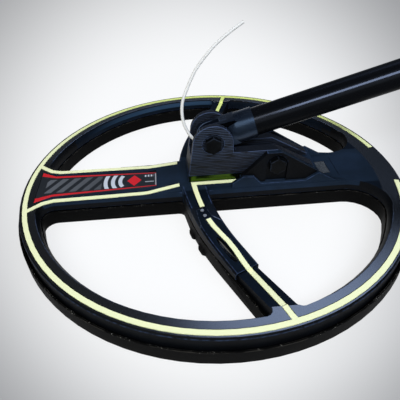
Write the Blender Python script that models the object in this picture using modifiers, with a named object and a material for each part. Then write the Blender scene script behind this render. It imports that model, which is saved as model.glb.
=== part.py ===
"""Search head of a metal detector with its lower stem.

A round coil on a front spoke, a rear spoke and a curved cross arm carries a clevis bracket. The
fork of the stem turns in the bracket, and two sprung buttons lock the stem's top end into the next
tube. Metres, +Z up, +X along the stem in plan, origin on the ground under the middle of the coil.
"""

from collections import namedtuple
from math import asin, atan2, ceil, cos, pi, radians, sin, sqrt

import bmesh
import bpy
from mathutils import Matrix, Vector

# Fits
TOUCH = 0.0003              # left between pieces that touch
RUN = 0.0003                # left round and beside what turns or slides

# Coil in plan
COIL_RADIUS = 0.140         # outside of the skid plate
RING_WIDTH = 0.016          # of the skid plate's ring
SPOKE_HALF = 0.0195         # half width of the front and rear spokes, over the skid plate
ARM_HALF = 0.0088           # half width of the cross arm, over the skid plate
ARM_NOSE_X = -0.0135        # middle of the cross arm where it passes the hub
ARM_BEND_RADIUS = 0.170
ARM_LEG_ANGLE = 25.4        # degrees between the arm's straight legs and the Y axis
FRONT_FILLET = 0.008        # front spoke to ring
REAR_FILLET = 0.020         # rear spoke to ring
ARM_FILLET = 0.004          # arm to spokes
LEG_FILLET = 0.0015         # arm to ring
RING_STEPS = 84

# Skid plate
SKID_WALL = 0.0013
SKID_FLOOR = 0.0018
SKID_HEIGHT = 0.0115
SKID_CHAMFER = 0.0016
CLIP_LENGTH = 0.008
CLIP_OUT = 0.0015
CLIP_HEIGHT = 0.0075
CLIP_STATIONS = (0.042, 0.057)   # along Y, on the front side of the cross arm

# Coil shells
BASE_THICKNESS = 0.0022
RIM_GROOVE = 0.0012         # dark groove between skid plate and housing, outside
SIDE_GROOVE = 0.0009        # and along the windows
HOUSING_WALL = 0.0020
HOUSING_TOP = 0.020
CAVITY_TOP = 0.0132
LIP_RISE = 0.0007           # housing lip above the skid plate
LIP_SETBACK = 0.0008        # housing lip behind the skid plate's face
INNER_CHAMFER_WIDTH = 0.0018
INNER_CHAMFER_DEPTH = 0.0037
OUTER_CHAMFER = 0.0011
SPOKE_DRAFT = 0.0002

# Cross arm
LEG_TOP = 0.0156            # outer legs under the module, lower than the rim
LEG_RISE = 0.107            # of the open legs to the rim, per length
TAB_OVERHANG = 0.0006       # of the rim's tab over the ring's inner edge
DECK_TOP = 0.0237           # hub deck and nose of the arm
DECK_HALF = 0.0163
NOSE_DROP = 0.0002          # arm below the deck
NOSE_HALF = 0.0095
MODULE_HALF = 0.0083
MODULE_START_Y = 0.0390
LEG_OPEN_LENGTH = 0.0294    # along Y, of the lower leg between module and tab
MODULE_END_TOP = 0.0172
NOSE_FLAT_Y = 0.022
ARM_EDGE = 0.0012           # chamfer along the arm's top edges
SCOOP_LENGTH = 0.026
SCOOP_WIDTH = 0.0046
SCOOP_DEPTH = 0.0022
SCOOP_FROM_END = 0.016      # middle of the scoop from the module's end
SCOOP_SIDE = 0.0023

# Hub
RAMP_START_X = -0.046
RAMP_END_X = -0.0225
DECK_END_X = 0.0185
ROOT = 0.004                # how far raised forms reach into the housing's top
PLINTH_TOP = 0.0285
PLINTH_FRONT_X = -0.0165
PLINTH_REAR_X = 0.0760
BRACKET_HALF = 0.0120
LUG_THICKNESS = 0.0037
LUG_FOOT = (0.0205, 0.0775)
LUG_CREST = (0.0385, 0.0480)
LUG_FOOT_Z = 0.0270
LUG_CREST_Z = 0.0460
SILL_PEAK_Z = 0.0293
SILL_LOW_Z = 0.0225
SILL_FROM_RING = 0.0230     # end of the sills from the ring's inner edge

# Inlays
STRIPE_WIDTH = 0.0033
STRIPE_THICKNESS = 0.0006
STRIPE_PROUD = 0.0001
RIM_STRIPE_INSET = 0.0064   # middle of the rim stripe from the coil's outside
BED_CUT = 0.003             # how far a groove's cutter stands over the surface
RIM_STRIPE_END = 9.5        # degrees from +X where the rim stripe ends
SPOKE_STRIPE_Y = 0.0163
SPOKE_STRIPE_FLARE = 0.0092  # more at the rim
STRIPE_BOW = 0.0022         # of the arm stripes behind the middle of the arm
HUB_STRIPE_Y = 0.0140
LABEL_THICKNESS = 0.0005
LABEL_OVER_RING = 0.0025    # of the panel's front end past the ring's inner edge
LABEL_FROM_RAMP = 0.0075
LABEL_FRONT_HALF = 0.0182
LABEL_FLARE = 0.011         # length of the panel's wider end
LABEL_HALF = 0.0124
LABEL_REAR_HALF = 0.0096
PATCH_LENGTH = 0.0095
PATCH_HALF = 0.0070
PATCH_FROM_PLINTH = 0.0080
PATCH_THICKNESS = 0.0006

# Inside the coil
WINDING_RADIUS = 0.0018
WINDING_OFFSET = 0.0022     # of each loop from the middle of the arm
BATTERY_SIZE = (0.064, 0.026, 0.0062)
BOARD_SIZE = (0.062, 0.026, 0.0016)
CAN_SIZE = (0.024, 0.018, 0.0030)
CONTACT_RADIUS = 0.0012
CONTACT_PROUD = 0.0003
CONTACT_STATIONS = (0.0412, 0.0460)
CONTACT_SIDE = 0.0012

# Bracket and pivot
PIVOT_X = 0.0013
PIVOT_Z = 0.0535
EAR_RADIUS = 0.0138
EAR_THICKNESS = 0.0041
BRACKET_FRONT_X = -0.0160
SHELF_Z = 0.0460
SHELF_END_X = 0.0460
TAIL_FROM_PLINTH = 0.0025   # end of the bracket's tail from the end of the plinth
TAIL_Z = 0.0305
TROUGH_HALF = 0.0042
TROUGH_DEPTH = 0.0045
TROUGH_START_X = 0.0165
BOLT_RADIUS = 0.0030
HEX_FLATS = 0.0110
HEX_HEIGHT = 0.0040
HEX_RECESS = 0.0013
HEX_RECESS_RADIUS = 0.0074
NUT_HEIGHT = 0.0048
REAR_BOLT_X = 0.0457
REAR_BOLT_Z = 0.0362
REAR_POCKET_DEPTH = 0.0014
WASHER_RADIUS = 0.0092
WASHER_THICKNESS = 0.0006

# Wire
WIRE_RADIUS = 0.0011
GLAND_RADIUS = 0.0024
GLAND_TOP_RADIUS = 0.0017
GLAND_HEIGHT = 0.0046
GLAND_X = -0.0098
GLAND_Y = 0.0020
WIRE_ROUTE = (
    (-0.0098, 0.0020, 0.0495),
    (-0.0122, 0.0026, 0.0520),
    (-0.0146, 0.0041, 0.0555),
    (-0.0169, 0.0062, 0.0606),
    (-0.0178, 0.0084, 0.0657),
    (-0.0177, 0.0105, 0.0707),
    (-0.0166, 0.0126, 0.0756),
    (-0.0140, 0.0158, 0.0806),
    (-0.0106, 0.0190, 0.0867),
    (-0.0060, 0.0222, 0.0935),
    (0.0004, 0.0254, 0.1001),
    (0.0077, 0.0286, 0.1065),
    (0.0172, 0.0317, 0.1127),
    (0.0268, 0.0349, 0.1178),
)

# Stem
STEM_TILT = 16.4            # degrees above level
STEM_LENGTH = 0.480         # pivot to top end
TUBE_RADIUS = 0.0096
TUBE_WALL = 0.0014
FORK_RADIUS = 0.0100
FORK_BAR_RADIUS = 0.0112    # round bar that the lugs are flattened from
FORK_SLOT = 0.0042
FORK_SLOT_END = 0.0125
SLEEVE_RADIUS = 0.0106
SLEEVE_START = 0.0185
SLEEVE_END = 0.0305
SLEEVE_TAPER = 0.0060
BUTTON_RADIUS = 0.0032
BUTTON_OUT = 0.0040
BUTTON_EDGE = 0.0018
BUTTON_FROM_END = 0.018
BUTTON_FLANGE = 0.0042
BUTTON_FLANGE_THICKNESS = 0.0010
SPRING_THICKNESS = 0.0007
SPRING_HALF = 0.0028
SPRING_LENGTH = 0.034
SPRING_BEND = 0.0024
STEM_STEPS = 36

# What follows from these
RING_INNER_RADIUS = COIL_RADIUS - RING_WIDTH
BASE_LOW = SKID_FLOOR + TOUCH
BASE_HIGH = BASE_LOW + BASE_THICKNESS
HOUSING_LOW = BASE_HIGH + TOUCH
LIP_LOW = SKID_HEIGHT + LIP_RISE
SIDE_GROW = SKID_WALL + SIDE_GROOVE
HOUSING_RADIUS = COIL_RADIUS - SKID_WALL - RIM_GROOVE
LEG_HALF = ARM_HALF - SIDE_GROW
SPOKE_TOP_HALF = SPOKE_HALF - LIP_SETBACK - SPOKE_DRAFT
RIM_STRIPE_RADIUS = COIL_RADIUS - RIM_STRIPE_INSET
LABEL_FRONT_X = -RING_INNER_RADIUS - LABEL_OVER_RING
LABEL_WAIST_X = LABEL_FRONT_X + LABEL_FLARE
LABEL_REAR_X = RAMP_START_X + LABEL_FROM_RAMP
PATCH_X = PLINTH_REAR_X + PATCH_FROM_PLINTH
TAIL_END_X = PLINTH_REAR_X - TAIL_FROM_PLINTH
SILL_END_X = RING_INNER_RADIUS - SILL_FROM_RING
WINDING_RING_RADIUS = (RING_INNER_RADIUS + SIDE_GROW + HOUSING_RADIUS) / 2
BATTERY_X = (RAMP_END_X - RING_INNER_RADIUS) / 2
BOARD_X = (DECK_END_X + RING_INNER_RADIUS) / 2

Level = namedtuple("Level", "z radius ring spoke arm")

PARTS = "metal_detector_search_head"
CUTTERS = "cutters"


def clear_scene():
    """Remove every object of the open scene."""
    for obj in list(bpy.data.objects):
        bpy.data.objects.remove(obj)


def collection(name):
    """Return the collection of that name, made on first use."""
    found = bpy.data.collections.get(name)
    if found is None:
        found = bpy.data.collections.new(name)
        bpy.context.scene.collection.children.link(found)
    return found


def material(name, colour, roughness, metallic=0.0):
    """Return a Principled material with one colour."""
    made = bpy.data.materials.new(name)
    made.use_nodes = True
    shader = made.node_tree.nodes["Principled BSDF"]
    shader.inputs["Base Color"].default_value = (*colour, 1.0)
    shader.inputs["Roughness"].default_value = roughness
    shader.inputs["Metallic"].default_value = metallic
    return made


def to_mesh(name, bm):
    """Close a bmesh into a mesh with outward faces, smooth where it is round."""
    bmesh.ops.remove_doubles(bm, verts=bm.verts, dist=1e-6)
    bmesh.ops.recalc_face_normals(bm, faces=bm.faces)
    mesh = bpy.data.meshes.new(name)
    bm.to_mesh(mesh)
    bm.free()
    mesh.shade_smooth()
    mesh.set_sharp_from_angle(angle=radians(35))
    return mesh


def part(name, bm, finish, parent=None):
    """Add a bmesh as a named piece of the object."""
    obj = bpy.data.objects.new(name, to_mesh(name, bm))
    obj.data.materials.append(finish)
    obj.parent = parent
    collection(PARTS).objects.link(obj)
    return obj


def tool(name, bm, parent=None):
    """Add a bmesh as a hidden shape that cuts or joins."""
    obj = bpy.data.objects.new(name, to_mesh(name, bm))
    obj.hide_render = True
    obj.display_type = "WIRE"
    obj.parent = parent
    collection(CUTTERS).objects.link(obj)
    return obj


def combine(target, operation, shape):
    """Add a Boolean of a tool to a piece."""
    modifier = target.modifiers.new(shape.name, "BOOLEAN")
    modifier.operation = operation
    modifier.solver = "EXACT"
    modifier.object = shape


def cut(target, *shapes):
    """Take tools away from a piece."""
    for shape in shapes:
        combine(target, "DIFFERENCE", shape)


def join(target, *shapes):
    """Join tools to a piece."""
    for shape in shapes:
        combine(target, "UNION", shape)


def merged(*bodies):
    """Return one bmesh that holds several, which are freed."""
    whole = bmesh.new()
    for body in bodies:
        mesh = bpy.data.meshes.new("body")
        body.to_mesh(mesh)
        body.free()
        whole.from_mesh(mesh)
        bpy.data.meshes.remove(mesh)
    return whole


def mirrored(bm):
    """Return a copy of a bmesh on the other side of the XZ plane."""
    other = bm.copy()
    bmesh.ops.transform(other, matrix=Matrix.Scale(-1, 4, (0, 1, 0)), verts=other.verts)
    bmesh.ops.reverse_faces(other, faces=other.faces)
    return other


def block(low, high):
    """Return a box between two corners."""
    bm = bmesh.new()
    bmesh.ops.create_cube(bm, size=1.0)
    size = Vector(high) - Vector(low)
    bmesh.ops.scale(bm, vec=size, verts=bm.verts)
    bmesh.ops.translate(bm, vec=(Vector(high) + Vector(low)) / 2, verts=bm.verts)
    return bm


def rod(start, end, radius, end_radius=None, sides=24, turn=0.0):
    """Return a round or many-sided rod between two points."""
    along = Vector(end) - Vector(start)
    bm = bmesh.new()
    bmesh.ops.create_cone(
        bm, cap_ends=True, segments=sides, radius1=radius,
        radius2=radius if end_radius is None else end_radius, depth=along.length,
    )
    place = Matrix.Translation((Vector(start) + Vector(end)) / 2)
    aim = along.to_track_quat("Z", "Y").to_matrix().to_4x4()
    bmesh.ops.transform(bm, matrix=place @ aim @ Matrix.Rotation(turn, 4, "Z"), verts=bm.verts)
    return bm


def hexagon(start, end, flats):
    """Return a hexagonal prism across the part, with a corner upwards."""
    return rod(start, end, flats / sqrt(3), sides=6)


def outline_solid(outlines, low, high, side=False):
    """Return flat outlines given thickness, in plan along Z, or seen from the side along Y."""
    curve = bpy.data.curves.new("outline", "CURVE")
    curve.dimensions = "2D"
    curve.fill_mode = "BOTH"
    curve.extrude = (high - low) / 2
    for outline in outlines:
        spline = curve.splines.new("POLY")
        spline.points.add(len(outline) - 1)
        for point, (u, v) in zip(spline.points, outline):
            point.co = (u, v, 0.0, 1.0)
        spline.use_cyclic_u = True
    obj = bpy.data.objects.new("outline", curve)
    bpy.context.scene.collection.objects.link(obj)
    evaluated = obj.evaluated_get(bpy.context.evaluated_depsgraph_get())
    mesh = bpy.data.meshes.new_from_object(evaluated)
    bm = bmesh.new()
    bm.from_mesh(mesh)
    bmesh.ops.remove_doubles(bm, verts=bm.verts, dist=1e-6)
    bpy.data.objects.remove(obj)
    bpy.data.curves.remove(curve)
    bpy.data.meshes.remove(mesh)
    bmesh.ops.translate(bm, vec=(0, 0, (low + high) / 2), verts=bm.verts)
    if side:
        bmesh.ops.transform(bm, matrix=Matrix.Rotation(pi / 2, 4, "X"), verts=bm.verts)
        bmesh.ops.scale(bm, vec=(1, -1, 1), verts=bm.verts)
    bmesh.ops.recalc_face_normals(bm, faces=bm.faces)
    return bm


def loft(sections):
    """Return a solid through sections of equally many points, capped at both ends."""
    bm = bmesh.new()
    rings = [[bm.verts.new(point) for point in section] for section in sections]
    for first, second in zip(rings, rings[1:]):
        count = len(first)
        for i in range(count):
            j = (i + 1) % count
            bm.faces.new((first[i], first[j], second[j], second[i]))
    bm.faces.new(rings[0])
    bm.faces.new(rings[-1])
    bmesh.ops.recalc_face_normals(bm, faces=bm.faces)
    return bm


def arc(centre, radius, start, end, steps, end_radius=None):
    """Return points along an arc, whose radius may change on the way."""
    last = radius if end_radius is None else end_radius
    points = []
    for i in range(steps + 1):
        share = i / steps
        angle = start + (end - start) * share
        here = radius + (last - radius) * share
        points.append((centre[0] + here * cos(angle), centre[1] + here * sin(angle)))
    return points


# Cross arm in plan
LEG = radians(ARM_LEG_ANGLE)
BEND_X = ARM_NOSE_X + ARM_BEND_RADIUS
LEG_START = Vector((BEND_X - ARM_BEND_RADIUS * cos(LEG), ARM_BEND_RADIUS * sin(LEG)))
LEG_ALONG = Vector((sin(LEG), cos(LEG)))
LEG_FRONT = Vector((-cos(LEG), sin(LEG)))


def leg_meets_circle(offset, radius):
    """Return where a line beside the far leg meets a circle round the coil's middle."""
    start = LEG_START + LEG_FRONT * offset
    along = start.dot(LEG_ALONG)
    return start + LEG_ALONG * (sqrt(along * along - start.dot(start) + radius * radius) - along)


LEG_END_Y = leg_meets_circle(0.0, RING_INNER_RADIUS).y - TAB_OVERHANG
MODULE_END_Y = LEG_END_Y - LEG_OPEN_LENGTH
LEG_RISE_Y = MODULE_END_Y + TOUCH
SCOOP_Y = MODULE_END_Y - SCOOP_FROM_END


def arm_point(y, front=0.0):
    """Return a plan point of the cross arm at a station along Y, moved to its front side."""
    across = abs(y)
    if across <= LEG_START.y:
        angle = asin(across / ARM_BEND_RADIUS)
        reach = ARM_BEND_RADIUS + front
        point = Vector((BEND_X - reach * cos(angle), reach * sin(angle)))
    else:
        point = LEG_START + LEG_ALONG * (across - LEG_START.y) / LEG_ALONG.y + LEG_FRONT * front
    return (point.x, point.y if y >= 0 else -point.y)


def arm_top(y):
    """Return the height of the raised part of the cross arm."""
    fall = (DECK_TOP - NOSE_DROP - MODULE_END_TOP) / (MODULE_END_Y - NOSE_FLAT_Y)
    return DECK_TOP - NOSE_DROP - fall * max(0.0, abs(y) - NOSE_FLAT_Y)


def leg_top(place):
    """Return the height of the far leg at a plan point, which rises past the module."""
    past = (Vector(place) - Vector(arm_point(LEG_RISE_Y))).dot(LEG_ALONG)
    return LEG_TOP + LEG_RISE * max(0.0, past)


def arm_half(y):
    """Return the half width of the raised part of the cross arm."""
    share = min(1.0, abs(y) / MODULE_START_Y)
    return NOSE_HALF + (MODULE_HALF - NOSE_HALF) * share


# Windows and shells of the coil
def window(front, level):
    """Return the outline of a far window, front or rear of the arm, grown as the level says."""
    toward = 1.0 if front else -1.0
    spoke_fillet = FRONT_FILLET if front else REAR_FILLET
    y = SPOKE_HALF + spoke_fillet
    at_rim = Vector((-toward * sqrt((RING_INNER_RADIUS - spoke_fillet) ** 2 - y * y), y))
    y = SPOKE_HALF + ARM_FILLET
    reach = ARM_BEND_RADIUS + toward * (ARM_HALF + ARM_FILLET)
    at_hub = Vector((BEND_X - sqrt(reach * reach - y * y), y))
    at_leg = leg_meets_circle(toward * (ARM_HALF + LEG_FILLET), RING_INNER_RADIUS - LEG_FILLET)
    hub_turn = atan2(-at_hub.y, BEND_X - at_hub.x)
    rim_angle = atan2(at_rim.y, at_rim.x)
    leg_angle = atan2(at_leg.y, at_leg.x)
    ring = RING_INNER_RADIUS + level.ring
    ring_steps = max(4, ceil(abs(rim_angle - leg_angle) / (2 * pi / RING_STEPS)))
    ring_arc = arc((0, 0), ring, leg_angle, rim_angle, ring_steps)[1:-1]
    side = toward * (ARM_HALF - level.arm)
    bend_from = asin(at_hub.y / reach)
    bend = [
        (BEND_X - (ARM_BEND_RADIUS + side) * cos(angle), (ARM_BEND_RADIUS + side) * sin(angle))
        for angle in (bend_from + (LEG - bend_from) * share for share in (0.35, 0.7, 1.0))
    ]
    spoke, arm_r, ring_r = level.spoke, level.arm, level.ring
    if front:
        hub = arc(at_hub, ARM_FILLET + spoke, -pi / 2, hub_turn, 3, ARM_FILLET + arm_r)
        leg = arc(at_leg, LEG_FILLET + arm_r, -LEG, leg_angle, 4, LEG_FILLET + ring_r)
        rim = arc(at_rim, spoke_fillet + ring_r, rim_angle, 1.5 * pi, 6, spoke_fillet + spoke)
        return hub + bend + leg + ring_arc + rim
    rim = arc(at_rim, spoke_fillet + spoke, -pi / 2, rim_angle, 8, spoke_fillet + ring_r)
    leg = arc(at_leg, LEG_FILLET + ring_r, leg_angle, pi - LEG, 4, LEG_FILLET + arm_r)
    hub = arc(at_hub, ARM_FILLET + arm_r, pi + hub_turn, 1.5 * pi, 3, ARM_FILLET + spoke)
    return rim + ring_arc[::-1] + leg + bend[::-1] + hub


def coil_loft(levels):
    """Return a solid with the coil's plan, lofted through levels and capped at both ends."""
    bm = bmesh.new()
    stacks = []
    for level in levels:
        rows = [arc((0, 0), level.radius, 0, 2 * pi, RING_STEPS)[:-1]]
        for front in (True, False):
            far = window(front, level)
            rows += [far, [(x, -y) for x, y in far]]
        stacks.append([[bm.verts.new((x, y, level.z)) for x, y in row] for row in rows])
    for lower, upper in zip(stacks, stacks[1:]):
        for first, second in zip(lower, upper):
            for i in range(len(first)):
                j = (i + 1) % len(first)
                bm.faces.new((first[i], first[j], second[j], second[i]))
    for stack in (stacks[0], stacks[-1]):
        edges = []
        for row in stack:
            edges += [bm.edges.get((row[i - 1], row[i])) for i in range(len(row))]
        bmesh.ops.triangle_fill(bm, use_beauty=True, use_dissolve=False, edges=edges)
    bmesh.ops.recalc_face_normals(bm, faces=bm.faces)
    return bm


def level(z, radius, grow, ring=0.0, arm=None):
    """Return a level whose windows all grow alike, with more at the ring or another arm."""
    return Level(z, radius, grow + ring, grow, grow if arm is None else arm)


def ribbon(path, width, low, high):
    """Return a flat strip along a path on a surface, between two heights from it."""
    points = [Vector(point) for point in path]
    sections = []
    for i, point in enumerate(points):
        into = (point - points[i - 1]).xy.normalized() if i else None
        out = (points[i + 1] - point).xy.normalized() if i + 1 < len(points) else None
        into = into or out
        out = out or into
        along = (into + out).normalized()
        across = Vector((-along.y, along.x, 0)) * (width / 2 / along.dot(into))
        sections.append([
            point + across + Vector((0, 0, low)), point - across + Vector((0, 0, low)),
            point - across + Vector((0, 0, high)), point + across + Vector((0, 0, high)),
        ])
    return loft(sections)


def inlay_paths():
    """Return the path of each stripe on the surface, by node."""
    rim = [
        (*point, HOUSING_TOP)
        for point in arc((0, 0), RIM_STRIPE_RADIUS, radians(RIM_STRIPE_END),
                         2 * pi - radians(RIM_STRIPE_END), RING_STEPS)
    ]
    flare_x = -sqrt((RING_INNER_RADIUS - FRONT_FILLET) ** 2 - (SPOKE_HALF + FRONT_FILLET) ** 2)
    rim_side = RIM_STRIPE_RADIUS - STRIPE_WIDTH / 2 - 3 * TOUCH
    meet = SPOKE_STRIPE_Y + SPOKE_STRIPE_FLARE
    front = [
        (-sqrt(rim_side ** 2 - meet ** 2) + STRIPE_WIDTH / 4, meet, HOUSING_TOP),
        (flare_x - 0.0075, SPOKE_STRIPE_Y + 0.35 * SPOKE_STRIPE_FLARE, HOUSING_TOP),
        (flare_x, SPOKE_STRIPE_Y + 0.1 * SPOKE_STRIPE_FLARE, HOUSING_TOP),
        (RAMP_START_X - ROOT, SPOKE_STRIPE_Y, HOUSING_TOP),
    ]
    front_end = RAMP_END_X - 2 * TOUCH
    toward_hub = (HUB_STRIPE_Y - SPOKE_STRIPE_Y) / (front_end - RAMP_START_X + ROOT)
    for x in (RAMP_START_X, front_end):
        front.append((x, SPOKE_STRIPE_Y + toward_hub * (x - RAMP_START_X + ROOT), ramp_top(x)))
    corner_x = arm_point(HUB_STRIPE_Y)[0]
    hub = [(DECK_END_X - STRIPE_WIDTH / 4, HUB_STRIPE_Y, DECK_TOP), (corner_x, HUB_STRIPE_Y, DECK_TOP)]
    hub += [(*arm_point(y), arm_top(y)) for y in arm_stations(NOSE_FLAT_Y, MODULE_START_Y - 3 * TOUCH, 3)]
    stations = arm_stations(CONTACT_STATIONS[-1] + STRIPE_WIDTH, MODULE_END_Y - TOUCH / 3, 6)
    bow = [-0.14, 0.11, 0.61, 1.0, 0.95, 0.55, 0.34]
    module = [(*arm_point(y, -STRIPE_BOW * b), arm_top(y)) for y, b in zip(stations, bow)]
    leg_ends = ((MODULE_END_Y + 2 * TOUCH, 0.72), (LEG_END_Y - 3 * TOUCH, 0.15))
    leg_line = [arm_point(y, -STRIPE_BOW * b) for y, b in leg_ends]
    leg = [(*place, leg_top(place)) for place in leg_line]
    tab_end = leg_meets_circle(STRIPE_WIDTH / 6, rim_side - STRIPE_WIDTH / 4)
    tab = [(*arm_point(LEG_END_Y + TOUCH), HOUSING_TOP), (*tab_end, HOUSING_TOP)]
    paths = {"rim_stripe": rim}
    for name, far in (("front_stripe", front), ("hub_stripe", hub), ("module_stripe", module),
                      ("leg_stripe", leg), ("tab_stripe", tab)):
        paths[name + "_far"] = far
        paths[name + "_near"] = [(x, -y, z) for x, y, z in far]
    return paths


def stripe_bed(path):
    """Return the groove that a stripe is laid in, a little longer and wider than the stripe."""
    line = [Vector(point) for point in path]
    first = line[0] + (line[0] - line[1]).normalized() * TOUCH
    last = line[-1] + (line[-1] - line[-2]).normalized() * TOUCH
    depth = STRIPE_THICKNESS + TOUCH - STRIPE_PROUD
    return ribbon([first] + line[1:-1] + [last], STRIPE_WIDTH + 2 * TOUCH, -depth, BED_CUT)


def build_skid_plate(finish):
    """Tray under the coil, with the clip tabs along the cross arm."""
    inner = COIL_RADIUS - SKID_WALL
    skid = part("skid_plate", coil_loft([
        level(0.0, COIL_RADIUS - SKID_CHAMFER, SKID_CHAMFER * 0.5),
        level(SKID_CHAMFER, COIL_RADIUS, 0.0),
        level(SKID_HEIGHT, COIL_RADIUS, 0.0),
        level(SKID_HEIGHT, inner, SKID_WALL),
        level(SKID_FLOOR, inner, SKID_WALL),
    ]), finish)
    clips = []
    for y in CLIP_STATIONS:
        rows = []
        for station, out in ((-0.5, 0.1), (-0.3, 1.0), (0.3, 1.0), (0.5, 0.1)):
            here = y + station * CLIP_LENGTH
            wall = arm_point(here, ARM_HALF - SKID_WALL / 2)
            face = arm_point(here, ARM_HALF + CLIP_OUT * out)
            rows.append([(*wall, SKID_CHAMFER), (*face, SKID_CHAMFER), (*face, CLIP_HEIGHT * 0.6),
                         (*wall, CLIP_HEIGHT)])
        clip = loft(rows)
        clips += [mirrored(clip), clip]
    join(skid, tool("skid_clips", merged(*clips)))
    return skid


def build_base(finish):
    """Plate that closes the housing from below."""
    return part("coil_base", coil_loft([
        level(BASE_LOW, HOUSING_RADIUS, SIDE_GROW),
        level(BASE_HIGH, HOUSING_RADIUS, SIDE_GROW),
    ]), finish)


def arm_section(y, half, roof, inner):
    """Return a section of the arm's raised part, a cap over the leg that is open below."""
    top = arm_top(y)
    crown = half - ARM_EDGE
    across = [
        (half, LIP_LOW), (half, top - ARM_EDGE), (crown, top), (-crown, top), (-half, top - ARM_EDGE),
        (-half, LIP_LOW), (-inner, LIP_LOW), (-inner, roof), (inner, roof), (inner, LIP_LOW),
    ]
    return [(*arm_point(y, front), z) for front, z in across]


def arm_stations(start, end, count):
    """Return stations along the arm, evenly spaced."""
    return [start + (end - start) * i / count for i in range(count + 1)]


def build_housing(finish, paths):
    """Upper shell of the coil with its cavity, hub deck, plinth, lugs and sills."""
    top_grow = LIP_SETBACK + SPOKE_DRAFT
    cavity = SIDE_GROW + HOUSING_WALL
    housing = part("coil_housing", coil_loft([
        level(CAVITY_TOP, HOUSING_RADIUS - HOUSING_WALL, cavity),
        level(HOUSING_LOW, HOUSING_RADIUS - HOUSING_WALL, cavity),
        level(HOUSING_LOW, HOUSING_RADIUS, SIDE_GROW),
        level(LIP_LOW - TOUCH, HOUSING_RADIUS, SIDE_GROW),
        level(LIP_LOW, HOUSING_RADIUS, LIP_SETBACK, arm=SIDE_GROW),
        level(HOUSING_TOP - INNER_CHAMFER_DEPTH, HOUSING_RADIUS, LIP_SETBACK, arm=SIDE_GROW),
        level(HOUSING_TOP - OUTER_CHAMFER, HOUSING_RADIUS, top_grow,
              INNER_CHAMFER_WIDTH * (1 - OUTER_CHAMFER / INNER_CHAMFER_DEPTH), SIDE_GROW),
        level(HOUSING_TOP, HOUSING_RADIUS - OUTER_CHAMFER, top_grow, INNER_CHAMFER_WIDTH, SIDE_GROW),
    ]), finish)
    cut(housing, tool("leg_lowering", leg_lowering()))
    roof, inner = CAVITY_TOP + HOUSING_WALL / 2, LEG_HALF - HOUSING_WALL / 2
    far = loft([arm_section(y, arm_half(y), roof, inner)
                for y in arm_stations(-MODULE_START_Y, MODULE_END_Y, 16)])
    join(housing, tool("arm_body", far))
    housing.modifiers["arm_body"].use_self = True
    join(housing, tool("front_ramp", front_ramp()))
    join(housing, tool("plinth", block((PLINTH_FRONT_X, -BRACKET_HALF, HOUSING_TOP - ROOT),
                                       (PLINTH_REAR_X, BRACKET_HALF, PLINTH_TOP + BED_CUT))))
    for name, shape in (("lug", lug()), ("sill", sill())):
        join(housing, tool(name + "_near", mirrored(shape)), tool(name + "_far", shape))
    seat = BRACKET_HALF + TOUCH
    cut(housing, tool("bracket_seat", block((PLINTH_FRONT_X - ROOT, -seat, PLINTH_TOP),
                                            (LUG_FOOT[1] + ROOT, seat, LUG_CREST_Z + ROOT))))
    cut(housing, tool("rear_bolt_pockets", rear_bolt_pockets()))
    across = lug_face() + ROOT
    cut(housing, tool("rear_bolt_hole", rod((REAR_BOLT_X, -across, REAR_BOLT_Z),
                                            (REAR_BOLT_X, across, REAR_BOLT_Z), BOLT_RADIUS + TOUCH)))
    beds = [stripe_bed(path) for node, path in paths.items() if node != "module_stripe_near"]
    cut(housing, tool("stripe_beds", merged(*beds)))
    recess = LABEL_THICKNESS + TOUCH
    cut(housing, tool("label_bed", label_shape(HOUSING_TOP - recess, HOUSING_TOP + 0.001, TOUCH)))
    cut(housing, tool("patch_bed", patch_shape(HOUSING_TOP - PATCH_THICKNESS, TOUCH, 0.001)))
    return housing


def leg_lowering():
    """Return what is cut off the outer legs, down from the rim to their own height."""
    reach = ARM_HALF + ROOT
    roof = DECK_TOP + 0.01
    rows = []
    for y in (MODULE_START_Y - ROOT, LEG_START.y, LEG_RISE_Y, LEG_END_Y):
        rear, front = Vector(arm_point(y, -reach)), Vector(arm_point(y, reach))
        if y == LEG_END_Y:
            rear, front = (side + LEG_ALONG * (y - side.y) / LEG_ALONG.y for side in (rear, front))
        rows.append([(*rear, leg_top(rear)), (*front, leg_top(front)), (*front, roof), (*rear, roof)])
    far = loft(rows)
    return merged(mirrored(far), far)


def ramp_top(x):
    """Return the height of the ramp in front of the hub deck."""
    share = (x - RAMP_START_X) / (RAMP_END_X - RAMP_START_X)
    return HOUSING_TOP + (DECK_TOP - HOUSING_TOP) * share


def front_ramp():
    """Return the hub deck and the ramp that rises to it from the front spoke."""
    low = HOUSING_TOP - ROOT
    edge = ARM_EDGE / 2
    foot = RAMP_START_X - ROOT / 2
    rows = []
    for x, half, top in (
        (foot, SPOKE_TOP_HALF - TOUCH / 2, ramp_top(foot)),
        (RAMP_END_X, DECK_HALF, DECK_TOP),
        (DECK_END_X, DECK_HALF, DECK_TOP),
    ):
        rows.append([(x, half, low), (x, half, top - edge / 3), (x, half - edge, top),
                     (x, edge - half, top), (x, -half, top - edge / 3), (x, -half, low)])
    return loft(rows)


def lug():
    """Return the far lug that holds the bracket's tail."""
    low = HOUSING_TOP - ROOT
    outline = [
        (LUG_FOOT[0], low), (LUG_FOOT[1], low), (LUG_FOOT[1], LUG_FOOT_Z),
        (LUG_CREST[1], LUG_CREST_Z), (LUG_CREST[0], LUG_CREST_Z), (LUG_FOOT[0], LUG_FOOT_Z),
    ]
    return outline_solid([outline], BRACKET_HALF - 2 * TOUCH, lug_face(), side=True)


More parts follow.
